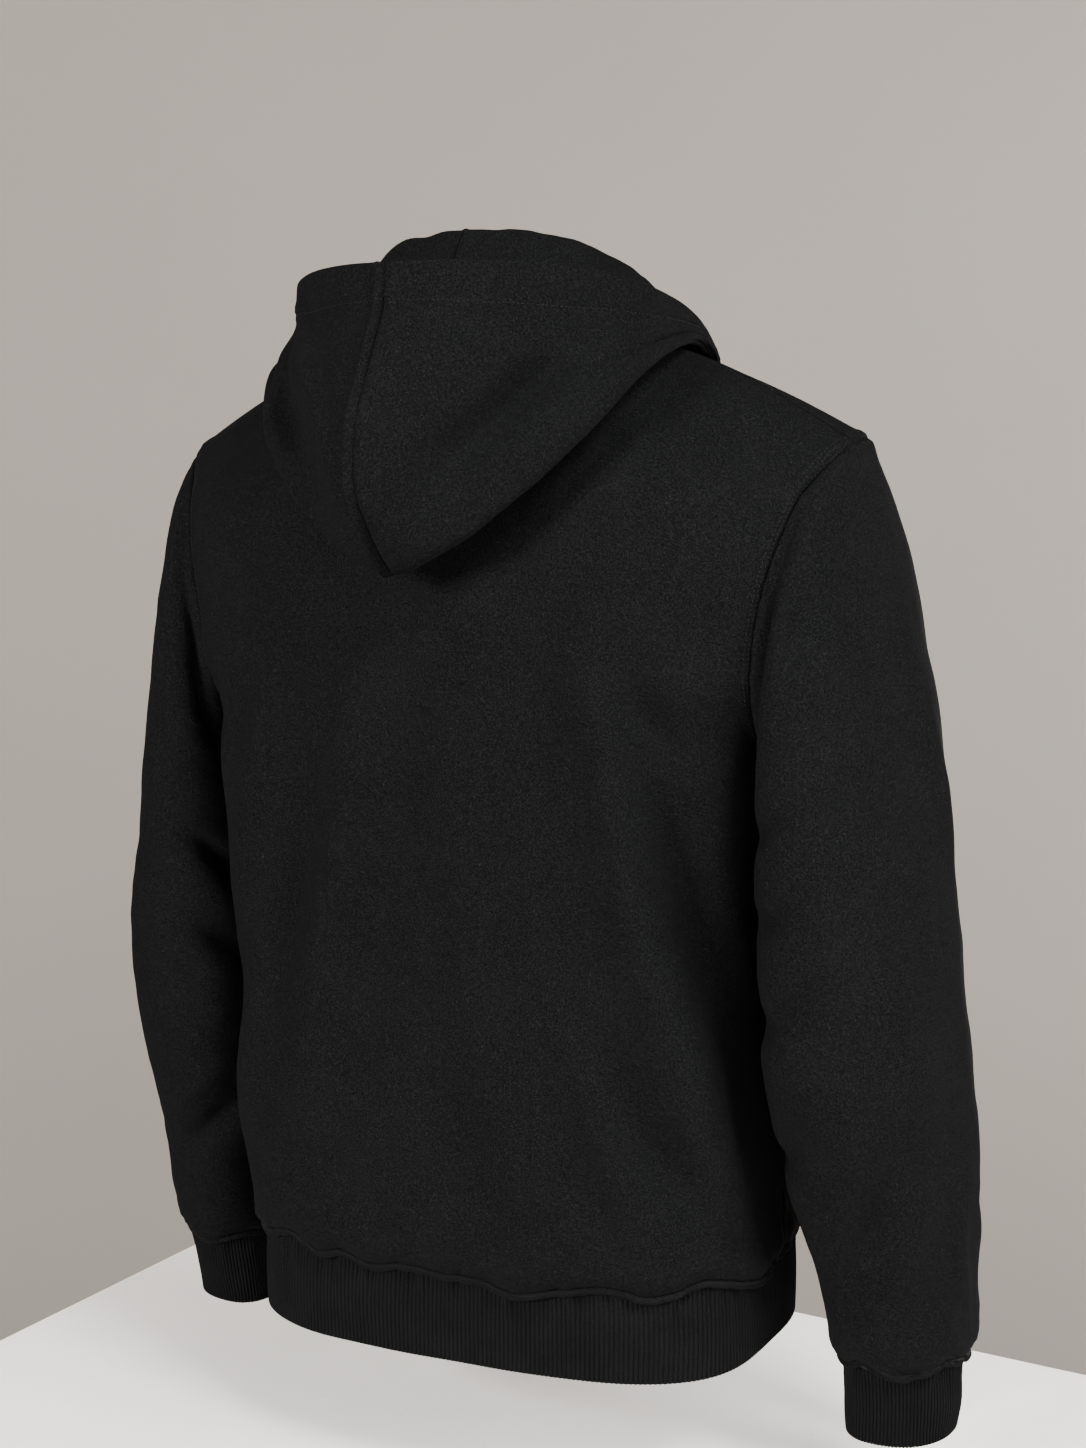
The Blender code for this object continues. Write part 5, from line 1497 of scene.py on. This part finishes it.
class SWEATSHIRT_OT_stitching(bpy.types.Operator):
    """Sew the visible seams, with the stitches of each piece of cloth as one object"""

    bl_idname = "sweatshirt.stitching"
    bl_label = "Stitching"

    def execute(self, context):
        sizes = context.scene.sweatshirt_sizes
        thread = finish_named("thread")
        pitch, length, radius = sizes.stitch_pitch, sizes.stitch_length, sizes.thread
        share = BELOW / (BELOW + ABOVE)
        sewn = {}

        def run(piece, edge, distance, first=0.0, last=1.0, sunk=0.0):
            line, out = beside(CLOTHS[piece], edge, distance, first, last)
            return stitched(line - out * sunk, out, pitch, length)

        def whip(piece, seed):
            line, out = beside(CLOTHS[piece], "low", sizes.welt * 0.80)
            other, _ = beside(CLOTHS[piece], "low", sizes.welt + 0.0014)
            return whipped(line, out, other, sizes.whip_pitch, seed)

        band = sizes.armhole_band
        lines = [band * share_of for share_of in (0.16, 0.42, 0.68, 0.93)]
        body = {"back_panel": ("left", "right"), "front_left_panel": ("left",), "front_right_panel": ("right",)}
        for name, edges in body.items():
            runs = [run(name, edge, at, share, 0.985, radius * 0.7) for edge in edges for at in lines]
            runs.append(whip(name, len(name)))
            if name != "back_panel":
                front_edge = "right" if name == "front_left_panel" else "left"
                runs.append(run(name, front_edge, 0.0058, 0.005, 0.995))
            sewn[name] = stitches(name.replace("panel", "stitches"), runs, radius, thread)
        for side in ("left", "right"):
            name = "sleeve_" + side + "_panel"
            runs = [whip(name, len(name))]
            sewn[name] = stitches("sleeve_" + side + "_stitches", runs, radius, thread)
            name = "hood_" + side + "_panel"
            hood = CLOTHS[name]
            column = hood.from_high[np.argmin(np.abs(hood.up[:, 0] - HOOD_HEM_SHARE))]
            centre = "left" if side == "left" else "right"
            ends = (0.0, 0.93) if side == "left" else (0.07, 1.0)
            line, out = beside(hood, "high", column, *ends)
            runs = [stitched(line, out, pitch, length)]
            if side == "left":
                runs.append(run(name, centre, 0.0056, 0.50, 0.995))
            sewn[name] = stitches("hood_" + side + "_stitches", runs, radius, thread)
        for name, made in sewn.items():
            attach(made, "garment")
        return {"FINISHED"}


class SWEATSHIRT_OT_zip(bpy.types.Operator):
    """Finish the zip's tapes, slider and pull, and add its teeth and ends"""

    bl_idname = "sweatshirt.zip"
    bl_label = "Zip"

    def execute(self, context):
        sizes = context.scene.sweatshirt_sizes
        metal = finish_named("metal")
        for node, name in (
            ("zip_tape_left", "tape"), ("zip_tape_right", "tape"), ("zip_slider", "metal"), ("zip_pull", "metal")
        ):
            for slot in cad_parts[node].material_slots:
                slot.link = "OBJECT"
                slot.material = finish_named(name)
        for side in ("left", "right"):
            teeth = bevelled_blocks("zip_teeth_" + side, teeth_places(side, sizes), 0.00022, metal)
            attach(teeth, "garment")
        line, up, out = zip_edge()
        middle = lambda point: point * (0, 1, 1)
        ends = [place_of(middle(line[0]) + up[0] * 0.0052, up[0], out[0], (0.0084, 0.0090, 0.0034))]
        top = up[-1]
        for toward in (-1, 1):
            stop = line[-1] * (toward, 1, 1) - top * 0.0035 * (toward, 1, 1)
            ends.append(place_of(stop, top, out[-1], (0.0030, 0.0036, 0.0026)))
        stops = bevelled_blocks("zip_ends", ends, 0.0005, metal)
        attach(stops, "garment")
        return {"FINISHED"}


class SWEATSHIRT_OT_stage(bpy.types.Operator):
    """Set the floor, the backdrop, the lights and the camera"""

    bl_idname = "sweatshirt.stage"
    bl_label = "Stage"

    def execute(self, context):
        scene = context.scene
        floor_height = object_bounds()[0][2] - FLOOR_GAP
        bm = bmesh.new()
        bmesh.ops.create_grid(bm, x_segments=8, y_segments=8, size=1.0)
        corner, first, second = (Vector((*p, floor_height)) for p in FLOOR_CORNERS)
        for vertex in bm.verts:
            a, b = (vertex.co.x + 1) / 2, (vertex.co.y + 1) / 2
            vertex.co = corner + (first - corner) * a + (second - corner) * b
        grown = bmesh.ops.extrude_face_region(bm, geom=bm.faces[:])["geom"]
        down = [g for g in grown if isinstance(g, bmesh.types.BMVert)]
        bmesh.ops.translate(bm, verts=down, vec=(0, 0, -0.03))
        bmesh.ops.recalc_face_normals(bm, faces=bm.faces[:])
        floor = mesh_object("floor", bm, finish_named("floor"), 30)
        floor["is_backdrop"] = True
        bm = bmesh.new()
        bmesh.ops.create_cone(
            bm, segments=96, radius1=ROOM_RADIUS, radius2=ROOM_RADIUS, depth=ROOM_HEIGHTS[1] - ROOM_HEIGHTS[0],
            matrix=Matrix.Translation((0, 0, sum(ROOM_HEIGHTS) / 2)),
        )
        bmesh.ops.reverse_faces(bm, faces=bm.faces[:])
        mesh_object("studio_wall", bm, finish_named("wall"), 30)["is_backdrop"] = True

        camera = bpy.data.cameras.new("camera")
        camera.lens, camera.sensor_width, camera.sensor_fit = CAMERA_LENS, 36.0, "AUTO"
        camera.clip_end = 50
        holder = bpy.data.objects.new("camera", camera)
        holder.location = CAMERA_PLACE
        holder.rotation_euler = [math.radians(turn) for turn in CAMERA_TURN]
        scene.collection.objects.link(holder)
        scene.camera = holder
        for name, (place, aim, size, power, colour) in LIGHTS.items():
            light = bpy.data.lights.new(name, "AREA")
            light.shape, light.size, light.size_y = "RECTANGLE", *size
            light.energy, light.color = power, colour
            lamp = bpy.data.objects.new(name, light)
            lamp.location = place
            lamp.rotation_euler = (Vector(aim) - Vector(place)).to_track_quat("-Z", "Y").to_euler()
            scene.collection.objects.link(lamp)
        world = bpy.data.worlds.new("soft_room")
        world.use_nodes = True
        back = world.node_tree.nodes["Background"]
        back.inputs["Color"].default_value = (*scene.sweatshirt_colours.wall, 1.0)
        back.inputs["Strength"].default_value = 0.15
        scene.world = world
        return {"FINISHED"}


class SWEATSHIRT_PT_panel(bpy.types.Panel):
    """The sweatshirt's sizes, colours and steps"""

    bl_idname = "SWEATSHIRT_PT_panel"
    bl_label = "Hooded fleece sweatshirt"
    bl_space_type = "VIEW_3D"
    bl_region_type = "UI"
    bl_category = "Sweatshirt"

    def draw(self, context):
        for group in (context.scene.sweatshirt_sizes, context.scene.sweatshirt_colours):
            box = self.layout.box()
            for name in group.bl_rna.properties.keys():
                if name not in ("rna_type", "name"):
                    box.prop(group, name)
        for step in STEPS:
            self.layout.operator(step.bl_idname)


STEPS = (
    SWEATSHIRT_OT_body, SWEATSHIRT_OT_sleeves, SWEATSHIRT_OT_hood, SWEATSHIRT_OT_ribbing,
    SWEATSHIRT_OT_stitching, SWEATSHIRT_OT_zip, SWEATSHIRT_OT_stage,
)
CLASSES = (SweatshirtSizes, SweatshirtColours, *STEPS, SWEATSHIRT_PT_panel)


def register():
    for made in CLASSES:
        bpy.utils.register_class(made)
    bpy.types.Scene.sweatshirt_sizes = bpy.props.PointerProperty(type=SweatshirtSizes)
    bpy.types.Scene.sweatshirt_colours = bpy.props.PointerProperty(type=SweatshirtColours)


def unregister():
    del bpy.types.Scene.sweatshirt_sizes
    del bpy.types.Scene.sweatshirt_colours
    for made in reversed(CLASSES):
        bpy.utils.unregister_class(made)


def main():
    register()
    bpy.ops.sweatshirt.body()
    bpy.ops.sweatshirt.sleeves()
    bpy.ops.sweatshirt.hood()
    bpy.ops.sweatshirt.ribbing()
    bpy.ops.sweatshirt.stitching()
    bpy.ops.sweatshirt.zip()
    bpy.ops.sweatshirt.stage()


if __name__ == "__main__":
    main()
